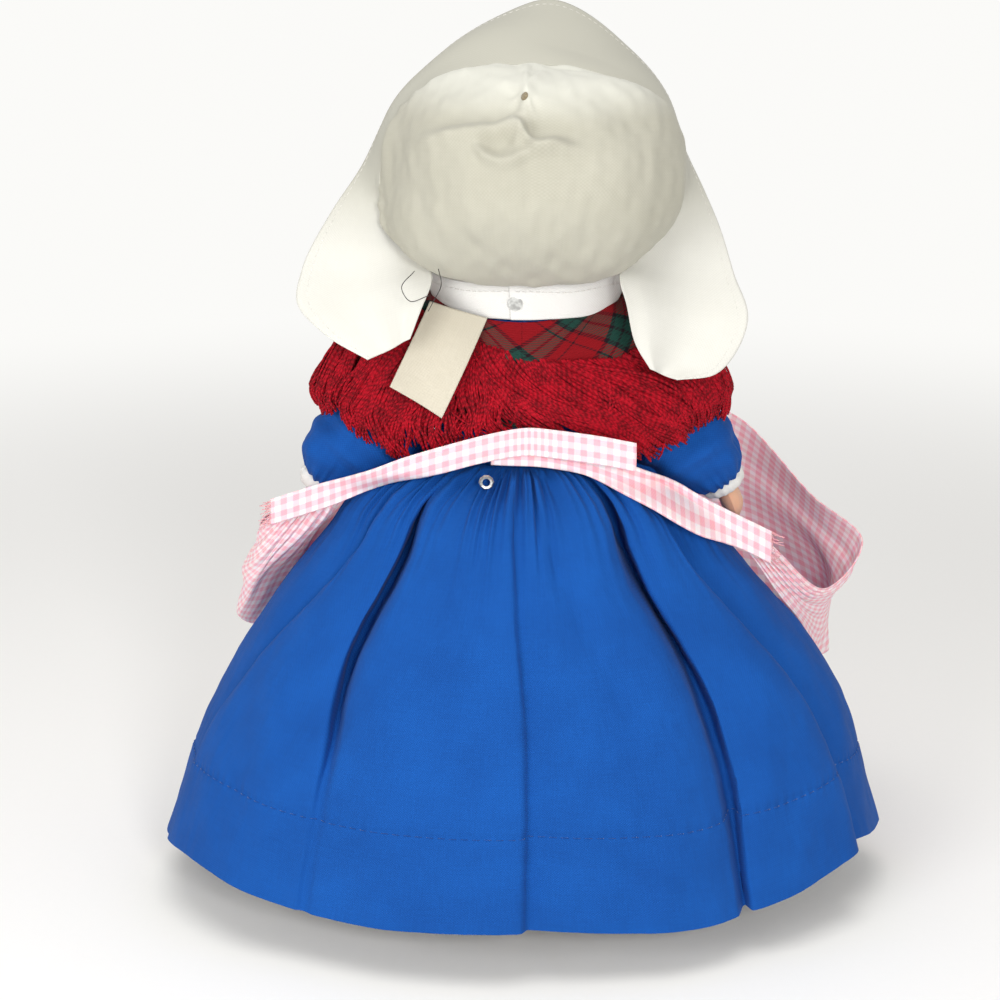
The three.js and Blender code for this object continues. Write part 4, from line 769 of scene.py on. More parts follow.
class Finishes:
    """Every finish of the doll, made once."""

    def __init__(self) -> None:
        """Makes the materials."""
        self.blue = Cotton("blue_cotton", (0.006, 0.086, 0.37), (0.004, 0.058, 0.265), sheen=0.03).make()
        self.white = Cotton("white_cotton", (0.78, 0.77, 0.75), (0.71, 0.70, 0.67), sheen=0.1).make()
        sheer = {"pitch": 0.34, "relief": 0.15, "sheen": 0.1}
        # Ivory organdy for the crown, darkened as painted shade for the dark inside seen through it, and lighter above
        # 184-194 mm as painted light on its top
        self.organdy = Cotton("organdy", (0.475, 0.46, 0.385), (0.42, 0.405, 0.33),
                              thin=((0.68, 0.675, 0.60), 184, 194), **sheer).make()
        # Stiffened organdy for the brim and lappets, darker above 151-173 mm as painted shade: the crown's shadow on
        # the upper lappets and the shaded brim
        self.stiff = Cotton("stiffened_organdy", (0.68, 0.67, 0.62), (0.62, 0.61, 0.56),
                            thin=((0.46, 0.45, 0.385), 151, 173), **sheer).make()
        self.label = Cotton("label_tape", (0.62, 0.575, 0.475), (0.54, 0.495, 0.395), pitch=0.22, sheen=0.1).make()
        self.gingham = Gingham("pink_gingham", (0.95, 0.78, 0.80), (0.93, 0.38, 0.45)).make()
        self.plaid = Plaid("plaid_wool").make()
        self.red_yarn = Yarn("red_yarn", (0.43, 0.003, 0.014), (0.14, 0.001, 0.005), rough=0.7, sheen=0.02).make()
        self.hair = Yarn("hair_fibre", (0.26, 0.13, 0.045), (0.13, 0.06, 0.02), rough=0.45, twist=4.0).make()
        self.white_thread = Yarn("white_thread", (0.8, 0.78, 0.74), (0.6, 0.58, 0.54)).make()
        self.blue_thread = Yarn("blue_thread", (0.012, 0.07, 0.30), (0.008, 0.045, 0.2)).make()
        self.pale_thread = Yarn("pale_thread", (0.3, 0.25, 0.16), (0.22, 0.18, 0.11)).make()
        self.dark_thread = Yarn("dark_thread", (0.05, 0.045, 0.04), (0.02, 0.018, 0.016)).make()
        self.pink_thread = Yarn("pink_thread", (0.80, 0.42, 0.44), (0.7, 0.3, 0.33)).make()
        self.face = Face("painted_face").make()
        self.iris = Iris("glass_eye").make()
        self.lash = Yarn("lash_fibre", (0.03, 0.018, 0.012), (0.012, 0.008, 0.006)).make()
        self.skin = Moulded("doll_skin", (0.80, 0.47, 0.32), (0.76, 0.42, 0.27), soft=0.25).make()
        self.vinyl = Moulded("black_vinyl", (0.012, 0.012, 0.013), (0.02, 0.02, 0.02), rough=0.28, coat=0.4).make()
        self.white_plastic = Moulded("white_plastic", (0.82, 0.81, 0.78), (0.76, 0.74, 0.70), rough=0.25).make()
        self.rubber = Moulded("stringing_elastic", (0.6, 0.52, 0.38), (0.45, 0.38, 0.26), rough=0.8).make()
        self.steel = Plated("plated_steel", (0.62, 0.62, 0.60)).make()
        self.lead = Plated("dull_lead", (0.2, 0.2, 0.21), rough=0.5).make()


def cover(piece: bpy.types.Object, finish: bpy.types.Material, slot: str, *nodes: str) -> None:
    """Gives a piece its finish, and hides the CAD nodes that it stands for.

    Args:
        piece: the new object.
        finish: its material.
        slot: not used.
        nodes: CAD nodes that it stands for.
    """
    piece.data.materials.append(finish)
    if nodes:
        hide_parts(*nodes)


def dress(piece: bpy.types.Object, finish: bpy.types.Material, body: str, slot: str, *nodes: str) -> None:
    """Covers a piece that rides on one body.

    Args:
        piece: the new object.
        finish: its material.
        body: the body it rides on.
        slot: passed on to cover.
        nodes: CAD nodes that it stands for.
    """
    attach(piece, body)
    cover(piece, finish, slot, *nodes)
    log.info("%s rides on %s, %d faces", piece.name, body, len(piece.data.polygons))


@dataclass(frozen=True)
class Fold:
    """One fold of the skirt: where it runs, how deep it is, and how steep each of its sides is."""

    turns: tuple[float, ...]
    depths: tuple[float, ...]
    before: float
    after: float
    tuck: float = 0.0
    slit: float = 1.0

    # Falls from waist to hem at which the turns and depths are given
    TURN_FALLS = (0.05, 0.2, 0.42, 0.65, 1)
    DEPTH_FALLS = (0, 0.05, 0.15, 0.35, 0.55, 0.68, 1)
    # Hollow under a slit: how much deeper, and how far aside and how wide in degrees
    DEEPER, ASIDE, HOLLOW = 1.3, 8, 11

    def away(self, degrees: Array, fall: Array) -> Array:
        """Degrees from the fold's line, negative before it."""
        return (degrees - follow(self.TURN_FALLS, self.turns, fall) + 180) % 360 - 180

    def depth(self, degrees: Array, fall: Array) -> Array:
        """How far the cloth is drawn in."""
        away = self.away(degrees, fall)
        width = np.where(away < 0, self.before, self.after)
        return follow(self.DEPTH_FALLS, self.depths, fall) * np.exp(-((np.abs(away) / width) ** 1.5))

    def tucked(self, degrees: Array, fall: Array) -> Array:
        """How far a narrow slit is tucked straight towards the front."""
        away = self.away(degrees, fall)
        narrow = self.slit * (1 - 0.5 * ease(fall, 0.3, 0.9))
        return self.tuck * follow(self.DEPTH_FALLS, self.depths, fall) * np.exp(-((np.abs(away) / narrow) ** 3))

    def hollow(self, degrees: Array, fall: Array) -> Array:
        """How far a layer underneath is drawn in to stay inside the slit."""
        deep = self.DEEPER * self.tuck * follow(self.DEPTH_FALLS, self.depths, fall)
        aside = math.copysign(self.ASIDE, math.sin(math.radians(self.turns[0])))
        return deep * np.exp(-(((self.away(degrees, fall) - aside) / self.HOLLOW) ** 2))


@dataclass
class Skirt:
    """The gathered skirt and the petticoat under it."""

    finishes: Finishes
    top_z: float = WAIST_Z + 0.3
    hem_z: float = 10.6
    waist: tuple[float, float] = (18.55, 14.45)
    hem: tuple[float, float] = (86.0, 61.9)
    hem_depth: float = 25.0

    # Flat width of the gathered cloth, and how far its right side bulges out
    FLAT, BULGE = 470, 2.6
    # Falls from waist to hem, and the share of the full width reached there
    FALLS = (0, 0.013, 0.035, 0.066, 0.108, 0.18, 0.265, 0.37, 0.5, 0.665, 0.845, 1)
    WIDTHS = (0, 0.068, 0.15, 0.243, 0.315, 0.388, 0.475, 0.592, 0.723, 0.839, 0.932, 1)
    # Round from the middle of the back towards the doll's left
    FOLDS = (
        Fold((4, 2, -0.5, -1, -0.8), (0, 0.7, 1.6, 2.2, 2.4, 2.4, 2.4), 9, 0.6),
        Fold((40.5, 40.5, 41, 36.5, 35), (0, 2.5, 5, 5, 3.7, 1.3, 0.4), 5, 11, 1.7, 2.0),
        Fold((60, 63, 72, 79, 80), (0, 3, 5.2, 5.4, 4, 2.4, 1), 3, 10),
        Fold((112, 112, 113, 114, 114), (0, 2, 3.5, 4, 4, 4, 4), 10, 6),
        Fold((140, 140, 140, 139, 138), (0, 2, 4, 4.5, 4.5, 4.5, 4.5), 12, 12),
        Fold((168, 168, 168, 168, 168), (0, 2, 4, 4, 4, 4, 4), 11, 11),
        Fold((196, 196, 196, 197, 198), (0, 2, 4, 4.5, 4.5, 4.5, 4.5), 11, 11),
        Fold((224, 224, 224, 224, 224), (0, 2, 4, 4, 4, 4, 4), 12, 12),
        Fold((250, 250, 249, 248, 248), (0, 2, 3.5, 4, 4, 4, 4), 6, 10),
        Fold((305, 301, 295, 292, 291), (0, 2.6, 4.8, 5, 4.4, 4, 4.2), 9, 2.6),
        Fold((325, 324.6, 322, 322, 323), (0, 2.5, 5, 5.4, 4.4, 3.4, 2.4), 11, 5, 1.8, 2.1),
        Fold((354, 350, 342, 340, 340), (0, 1.4, 1.7, 0.8, 0.4, 0.2, 0), 5, 4),
    )

    def point(self, turn: Array, fall: Array, inset: float = 0.0, drop: float = 0.0) -> Array:
        """Places on the skirt, or on a layer inside it.

        Args:
            turn: angle round it from the middle of the back, in radians.
            fall: share of the way from waist to hem.
            inset: how far inside the skirt's surface.
            drop: how far below it.

        Returns:
            Points with one more axis.
        """
        degrees = np.degrees(turn)
        drawn = sum(fold.depth(degrees, fall) for fold in self.FOLDS)
        slits = [fold for fold in self.FOLDS if fold.tuck]
        tucked = 0.0 if inset else sum(fold.tucked(degrees, fall) for fold in slits)
        drawn = drawn + (sum(fold.hollow(degrees, fall) for fold in slits) if inset else 0.0)
        inset = inset * (1 + 0.9 * ease(fall, 0.03, 0.12) * (1 - ease(fall, 0.3, 0.55)))
        wide, deep = self.oval(fall, -inset)
        x = wide * np.sin(turn) - self.BULGE * hill(fall, 0.62, 0.24) * ease(-np.sin(turn), 0.3, 1)
        y = deep * np.cos(turn)
        scale = 1 - drawn / np.hypot(x, y)
        z = self.top_z + (self.hem_z - self.top_z) * fall - drop
        return stack(x * scale, y * scale - tucked, z)

    def oval(self, fall: Array, grow: Array | float = 0.0) -> tuple[Array, Array]:
        """Half width and half depth of the skirt without its folds, grown outwards."""
        full = follow(self.FALLS, self.WIDTHS, fall)
        wide, deep = (waist + (hem - waist) * full + grow for waist, hem in zip(self.waist, self.hem))
        return wide, deep

    def clear(self, points: Array, gap: float) -> Array:
        """Points pushed out until they lie outside the skirt by a gap."""
        fall = np.clip((self.top_z - points[..., 2]) / (self.top_z - self.hem_z), 0, 1)
        wide, deep = self.oval(fall, gap)
        inside = np.hypot(points[..., 0] / wide, points[..., 1] / deep)
        push = np.where(points[..., 2] < self.top_z, np.maximum(1, 1 / np.maximum(inside, 0.1)), 1)
        return points * stack(push, push, np.ones_like(push))

    def build(self) -> None:
        """Makes and dresses the skirt, its stitched hem and the petticoat."""
        rows, columns = 190, 1400
        fall, round_it = across(rows, columns + 1)
        fall = fall**1.35
        turn = (round_it - 0.5) * TAU
        points = self.point(turn, fall)
        normal = -outward(points)
        bunch = Wander(3, 0.7, 1.6, axes=1)(turn * 6)
        tight = np.sin(turn * 27 + 2.2 * bunch) * 0.5 * np.exp(-fall / 0.03)
        puffs = np.sin(turn * 11 + 1.6 * bunch) * 1.6 * np.exp(-fall / 0.09) * ease(fall, 0.0, 0.03)
        puff = (tight + puffs) * ease(fall, 0.0, 0.01)
        arc = np.hypot(points[..., 0], points[..., 1])
        loose = Wander(5, 9, 34, axes=3)(points[..., 0], points[..., 1], points[..., 2] * 0.4) * 0.3
        fine = Wander(7, 2.5, 7, axes=3)(points[..., 0], points[..., 1], points[..., 2] * 0.5) * 0.05
        line = self.hem_line()
        hem = -0.25 * hill(fall, line, 0.006) + 0.14 * ease(fall, line, line + 0.01)
        pucker = 0.07 * np.sin(arc * turn * 1.9) * hill(fall, line, 0.02)
        points = raised(points, normal, puff + loose * ease(fall, 0.05, 0.3) + fine + hem + pucker)
        points[..., 2] += self.hem_wave(turn) * ease(fall, 0.55, 1)
        long = self.length()
        uv = stack(round_it * self.FLAT, fall * long)
        skirt = Form.grid("skirt", points[:, :-1], uv, wrap=True)
        dress(skirt, self.finishes.blue, "torso", "blue_cotton", "dress_skirt")
        row = int(np.searchsorted(fall[:, 0], line))
        row_of = Form.stitches("hem_stitches", points[row] + normal[row] * 0.05, normal[row], 2.6, 0.07)
        dress(row_of, self.finishes.blue_thread, "torso", "blue_cotton")
        self.petticoat()

    def hem_line(self) -> float:
        """Share of the fall at which the hem is sewn."""
        return 1 - self.hem_depth / self.length()

    def length(self) -> float:
        """Length of the cloth from waist to hem."""
        fall = np.linspace(0, 1, 200)
        middle = self.point(np.full(200, 0.3), fall)
        return float(np.linalg.norm(np.diff(middle, axis=0), axis=1).sum())

    def hem_wave(self, turn: Array) -> Array:
        """Rise and dip of the hem round the skirt."""
        side = np.abs((turn + math.pi) % TAU - math.pi)
        return 0.8 + 0.8 * np.sin(turn * 3 + 0.6) + 0.5 * np.sin(turn * 7 + 2) + 5.2 * hill(side, 1.17, 0.34)

    def petticoat(self) -> None:
        """Makes and dresses the white layer under the skirt, with a scalloped edge."""
        fall, round_it = across(60, 361)
        turn = (round_it - 0.5) * TAU
        points = self.point(turn, 0.006 + fall * 0.9, inset=3.4, drop=4.0)
        points[..., 2] += 0.9 * np.abs(np.sin(turn * 36)) * ease(fall, 0.93, 1)
        shake = Wander(11, 8, 24, axes=3).at(points) * 0.2
        points = raised(points, -outward(points), shake)
        uv = stack(round_it * 430, fall * 100)
        under = Form.grid("petticoat_layer", points[:, :-1], uv, wrap=True)
        dress(under, self.finishes.white, "torso", "white_cotton", "petticoat")


@dataclass
class Apron:
    """The gingham apron: a panel gathered at both sides into ties that lap behind the waist."""

    finishes: Finishes
    skirt: Skirt
    back_z: float = WAIST_Z + 6.8

    # Lowest height at which ties are fitted to the skirt, points across a tie, and loose threads at its end
    LOW_Z, ACROSS, FRAYS = 10, 17, 26

    def tie_depth(self, x: Array, z: Array, stand: float) -> Array:
        """Distance back at which a tie clears the waist and skirt."""
        wide, deep = self.skirt.oval(np.clip((self.skirt.top_z - z) / (self.skirt.top_z - self.LOW_Z), 0, 1))
        ride = np.where(z < self.skirt.top_z, deep * np.sqrt(np.maximum(0.04, 1 - (x / wide) ** 2)), 0)
        above = 16.6 * np.sqrt(np.maximum(0.04, 1 - (x / 44.0) ** 2)) * ease(z, WAIST_Z - 6, WAIST_Z + 2)
        return np.maximum(ride, above) + stand

    @staticmethod
    def taut(depth: Array) -> Array:
        """Depths along a band drawn tight over what lies under it."""
        half, rows = 12, len(depth)
        for settle in (np.max, np.mean):
            padded = np.pad(depth, ((half, half), (0, 0)), mode="edge")
            depth = settle([padded[k:k + rows] for k in range(2 * half + 1)], axis=0)
        return depth

    def tie(self, name: str, stops: Sequence, stand: float, widths: tuple[float, float],
            node: str) -> list[bpy.types.Object]:
        """One tie along its path, from its squared end to its ravelled one.

        Args:
            name: the piece's name.
            stops: points that its middle passes, the ravelled end last.
            stand: how far it stands off what lies under it.
            widths: its width at each end.
            node: CAD node that it stands for.

        Returns:
            The tie and its loose threads.
        """
        u, v = across(170, self.ACROSS)
        middle = along(stops, u)
        x, z = middle[..., 0], middle[..., 2] + (v - 0.5) * (widths[0] + (widths[1] - widths[0]) * u)
        y = self.taut(np.maximum(middle[..., 1], self.tie_depth(x, z, stand)))
        length = float(np.linalg.norm(np.diff(np.asarray(stops, float), axis=0), axis=1).sum())
        y = y + Wander(len(name), 9, 30)(u * length, v * 6) * 0.2 + 0.3 * hill(v, 0.5, 0.3)
        points = stack(x, y, z)
        piece = Form.grid(name, points, stack(v * 6.9 + 0.7, u * length))
        Form.thicken(piece, 0.45)
        dress(piece, self.finishes.gingham, "torso", "gingham", node)
        rng = np.random.default_rng(len(name))
        root = points[-1, rng.integers(0, self.ACROSS, self.FRAYS)]
        away = points[-1, 8] - points[-9, 8]
        reach = rng.uniform(0.7, 2.6, (self.FRAYS, 1, 1)) * away / np.linalg.norm(away)
        run = np.linspace(-0.4, 1, 7)[:, None]
        stray = rng.normal(0, 0.55, (self.FRAYS, 1, 3)) * np.maximum(run, 0) ** 1.5
        frays = Form.strands(f"{name}_frays", root[:, None] + reach * run + stray, 0.09, 5)
        dress(frays, self.finishes.pink_thread, "torso", "gingham")
        return [piece, frays]

    def build(self) -> None:
        """Makes and dresses the ties and the panel."""
        z = self.back_z
        z_end = WAIST_Z + 5.2
        left = [(-25.6, 22.2, z - 2), (-18, 22.4, z - 0.5), (-10, 20, z + 0.4), (5, 0, z), (25.6, 0, z - 6),
                (44, 8.7, z_end - 12.5), (57.8, 6.1, z_end - 16.9)]
        right = [(7, 0, z - 1.6), (-6, 0, z - 2.2), (-14, 0, z - 4), (-27, 0, z - 10), (-42, 8.7, z_end - 17.5),
                 (-57.6, 6.1, z_end - 25.6)]
        self.panel([*self.tie("apron_tie_left", left, 3.2, (6.6, 5.9), "apron_left_tie"),
                    *self.tie("apron_tie_right", right, 2.0, (6.4, 7.6), "apron_right_tie")])

    def panel(self, ties: list[bpy.types.Object]) -> None:
        """Makes and dresses the apron's front and its two flared sides, which carry the ties."""
        def hang(top: Sequence[float], middle: Sequence[float], low: Sequence[float]) -> list[Array]:
            """A column of points from three of them."""
            a, b, c = (np.asarray(p, float) for p in (top, middle, low))
            return [a, (a + b) / 2 + (0, -1, 0), b, c]

        front = -17.0
        columns = [
            [(57.5, 6.0, 91.5), (52, 6.6, 93.1), (47, 7.2, 94.7), (42, 7.8, 96.3)],
            [(62, -6, 85.5), (63.5, -8, 77), (66, -13, 66.5), (54.5, -18, 72)],
            [(61.4, -27.6, 82.5), (66.5, -27.6, 71), (70, -27.6, 58), (64, -31, 50)],
            hang((51.2, -47, 82), (57.3, -49, 66), (61.4, -53.2, 40)),
            [(13, front * 0.92, 106), (24.6, -31.5, 96), (29.7, -49, 74), (33.8, -58.3, 37)],
            [(0, front, 107), (0, -33.8, 97), (0, -50, 76), (0, -60, 36)],
            [(-13, front * 0.92, 106), (-24.6, -32.5, 96), (-29.7, -50, 75), (-33.8, -58.3, 37)],
            hang((-54.3, -49, 101), (-59.4, -52, 72), (-63.5, -55, 40)),
            hang((-72.5, -37.9, 83.5), (-75.8, -36.8, 65), (-76.8, -34.8, 44)),
            [(-83, -22.5, 77), (-79.5, -22.5, 69), (-75.3, -22.5, 61), (-72, -27, 45)],
            [(-72.5, -6, 69.5), (-70.5, -6, 68), (-68.5, -7, 65), (-66.5, -9, 60)],
            [(-58.5, 6.0, 83.2), (-56, 6.5, 83.8), (-53.5, 6.9, 84.8), (-51, 7.3, 86)],
        ]
        net = np.asarray(columns, float)
        u, v = across(110, 420)
        lines = np.stack([along(net[:, k], v[0]) for k in range(4)])
        points = np.empty((*u.shape, 3))
        for column in range(u.shape[1]):
            points[:, column] = follow((0, 0.3, 0.6, 1), lines[:, column], u[:, column])
        normal = outward(points)
        pleat = np.sin(u * TAU * 7 + 0.8 * np.sin(v * 9)) * 0.7
        ends = np.exp(-v / 0.07) + np.exp(-(1 - v) / 0.08)
        waist = np.sin(v * TAU * 34 + 2 * np.sin(v * 40)) * 0.8 * hill(v, 0.5, 0.12) * np.exp(-u / 0.12)
        soft = Wander(21, 14, 50)(v * 230, u * 66) * 0.5 * ease(u, 0.05, 0.4)
        points = self.skirt.clear(raised(points, normal, pleat * ends + waist + soft), 1.2)
        piece = Form.grid("apron_cloth", points, stack(v * 236, u * 66))
        Form.thicken(piece, 0.3)
        dress(piece, self.finishes.gingham, "torso", "gingham", "apron_panel")


@dataclass
class Dress:
    """The upper part of the dress: bodice, sleeves with cuffs, and the white collar band."""

    finishes: Finishes
    neck_wide: float = 14.6
    neck_deep: float = 12.8
    neck_z: float = NECK_Z - 0.6
    sleeve_x: float = 21.55
    collar_height: float = 8.5

    # Heights of the body with its half widths and half depths
    LEVELS = ((105, 16.5, 12.2), (119, 18.6, 12.8), (128, 20, 12.4), (135, 20, 11.8), (138, 15.8, 11.3),
              (140, 10.6, 10.6))
    # Height at which the bodice starts
    LOW_Z = 104.6
    # Arm line from the end of the shoulder's bend, in shares of its drop
    ARM = ((0, 0, 0), (0.164, -0.024, -0.342), (0.381, -0.084, -0.67), (0.487, -0.135, -0.855), (0.54, -0.169, -1))
    ARM_DROP = 41.5
    BEND_RADIUS = 8.0
    SLEEVE_END = 0.785

    def build(self) -> None:
        """Makes and dresses all of it."""
        self.bodice()
        self.collar()
        for side in Side:
            self.sleeve(side)

    def bodice(self) -> None:
        """The fitted body with its opening at the back."""
        fall, round_it = across(60, 241)
        turn = round_it * TAU + math.pi
        z = self.LOW_Z + (self.neck_z - self.LOW_Z) * (1 - fall)
        levels = np.asarray(self.LEVELS)
        wide, deep = (np.maximum(follow(levels[:, 0], levels[:, k], z), least * ease(z, 134, 139)) + 1.2
                      for k, least in ((1, 13.4), (2, 11.6)))
        points = stack(wide * np.sin(turn), deep * np.cos(turn), z)
        drag = Wander(31, 4, 14, axes=3).at(points) * 0.13
        gather = np.sin(turn * 40 + 2 * np.sin(turn * 7)) * 0.3 * np.exp(-(1 - fall) / 0.1)
        edge = 0.7 * ease(np.degrees(turn % TAU), 355, 357)
        points = raised(points, -outward(points), drag + gather + edge)
        piece = Form.grid("bodice", points, stack(round_it * 112, fall * 40))
        Form.thicken(piece, 0.3)
        dress(piece, self.finishes.blue, "torso", "blue_cotton", "dress_bodice")

    def collar(self) -> None:
        """A standing band, lapped and closed at the back, with small pleats along its edge."""
        rise, round_it = across(26, 420)
        lap = 1.04
        turn = round_it * TAU * lap - 0.08
        flare = 6.0 + 2.2 * rise**0.8
        pleat = np.sin(turn * 9 + 1.4 * np.sin(turn * 5)) * (0.2 + 0.8 * rise) * 0.3
        out = flare + pleat + 0.8 * ease(round_it, 0.93, 0.97)
        z = self.neck_z + 0.3 + self.collar_height * rise + 0.35 * np.sin(turn * 6 + 1) * rise
        x = (self.neck_wide + out) * np.sin(turn) - 1.1
        points = stack(x, (self.neck_deep - 1.2 + out * 0.58) * np.cos(turn), z)
        piece = Form.grid("collar_band", points, stack(round_it * 112, rise * 10))
        Form.thicken(piece, 0.3)
        dress(piece, self.finishes.white, "torso", "white_cotton", "dress_collar")
        way = outward(points)[19]
        seam = Form.stitches("collar_stitches", points[19] + way * 0.3, way, 1.5, 0.07)
        dress(seam, self.finishes.white_thread, "torso", "white_cotton")

    def arm_line(self, side: Side, share: Array) -> Array:
        """Middle line of an arm by its share of length, from the sleeve's start to the finger tips."""
        angle = np.radians(62) * np.linspace(0, 1, 5)
        x = self.sleeve_x + self.BEND_RADIUS * np.sin(angle)
        bend = stack(x, np.zeros(5), SHOULDER_Z - self.BEND_RADIUS * (1 - np.cos(angle)))
        line = np.concatenate([bend, bend[-1] + np.asarray(self.ARM[1:]) * self.ARM_DROP])
        return along(line * (side.value, 1, 1), share)

    def ring(self, side: Side, share: Array, turn: Array, radius: Array) -> Array:
        """Points round an arm.

        Args:
            side: which arm.
            share: place along it, one column of shares for each row.
            turn: angle round it.
            radius: distance from its middle line.

        Returns:
            Points with one more axis.
        """
        middle = self.arm_line(side, share)
        ahead, behind = (self.arm_line(side, np.clip(share + step, 0, 1)) for step in (0.01, -0.01))
        run = np.where((share < 0.012)[..., None], (side.value, 0.0, 0.0), unit(ahead - behind))
        deep = unit(np.array([0.0, 1.0, 0.0]) - run * run[..., 1:2])
        wide = np.cross(run, deep)
        return middle + (deep * np.cos(turn)[..., None] + wide * np.sin(turn)[..., None]) * radius[..., None]

    def sleeve(self, side: Side) -> None:
        """One full sleeve, gathered into a white cuff."""
        share, round_it = across(90, 121)
        turn = round_it * TAU * side.value
        radius = follow((0, 0.12, 0.4, 0.65, 0.84, 0.95, 1), (7.3, 7.8, 8.5, 9.3, 9.2, 7.2, 5.0), share)
        near, back = -np.sin(turn) * side.value, np.cos(turn)
        full = 6.2 * ease(near, 0.0, 1.0) * hill(share, 0.54, 0.24)
        full = full - 1.1 * ease(-near, 0.0, 1.0) * hill(share, 0.56, 0.22)
        crease = Wander(41 + side.value, 6, 16, axes=3)(near * 9, back * 9, share * 46) * 0.45 * ease(share, 0.05, 0.3)
        rings = 0.3 * np.sin(share * 52 + 1.3 * np.sin(turn * 2 + 1)) * hill(share, 0.75, 0.2)
        ends = np.exp(-(1 - share) / 0.08) + 0.6 * np.exp(-share / 0.08)
        gather = np.sin(turn * 18 + np.sin(turn * 5)) * 0.5 * ends
        points = self.ring(side, share * self.SLEEVE_END, turn, radius + full + crease + rings + gather)
        piece = Form.grid(f"sleeve_{side.label}", points[:, :-1], stack(round_it * 54, share * 44), wrap=True)
        dress(piece, self.finishes.blue, f"{side.label}_arm", "blue_cotton", f"{side.label}_sleeve")
        f"{side.label}_arm"
        share, round_it = across(16, 73)
        turn = round_it * TAU * side.value
        bulge = 4.95 + 0.5 * np.sin(share * math.pi) + 0.16 * np.sin(turn * 14 + 1.2 * np.sin(turn * 3))
        points = self.ring(side, self.SLEEVE_END - 0.012 + share * 0.056, turn, bulge)
        cuff = Form.grid(f"cuff_{side.label}", points[:, :-1], stack(round_it * 34, share * 4), wrap=True)
        Form.thicken(cuff, 0.4)
        dress(cuff, self.finishes.white, f"{side.label}_arm", "white_cotton", f"{side.label}_cuff")


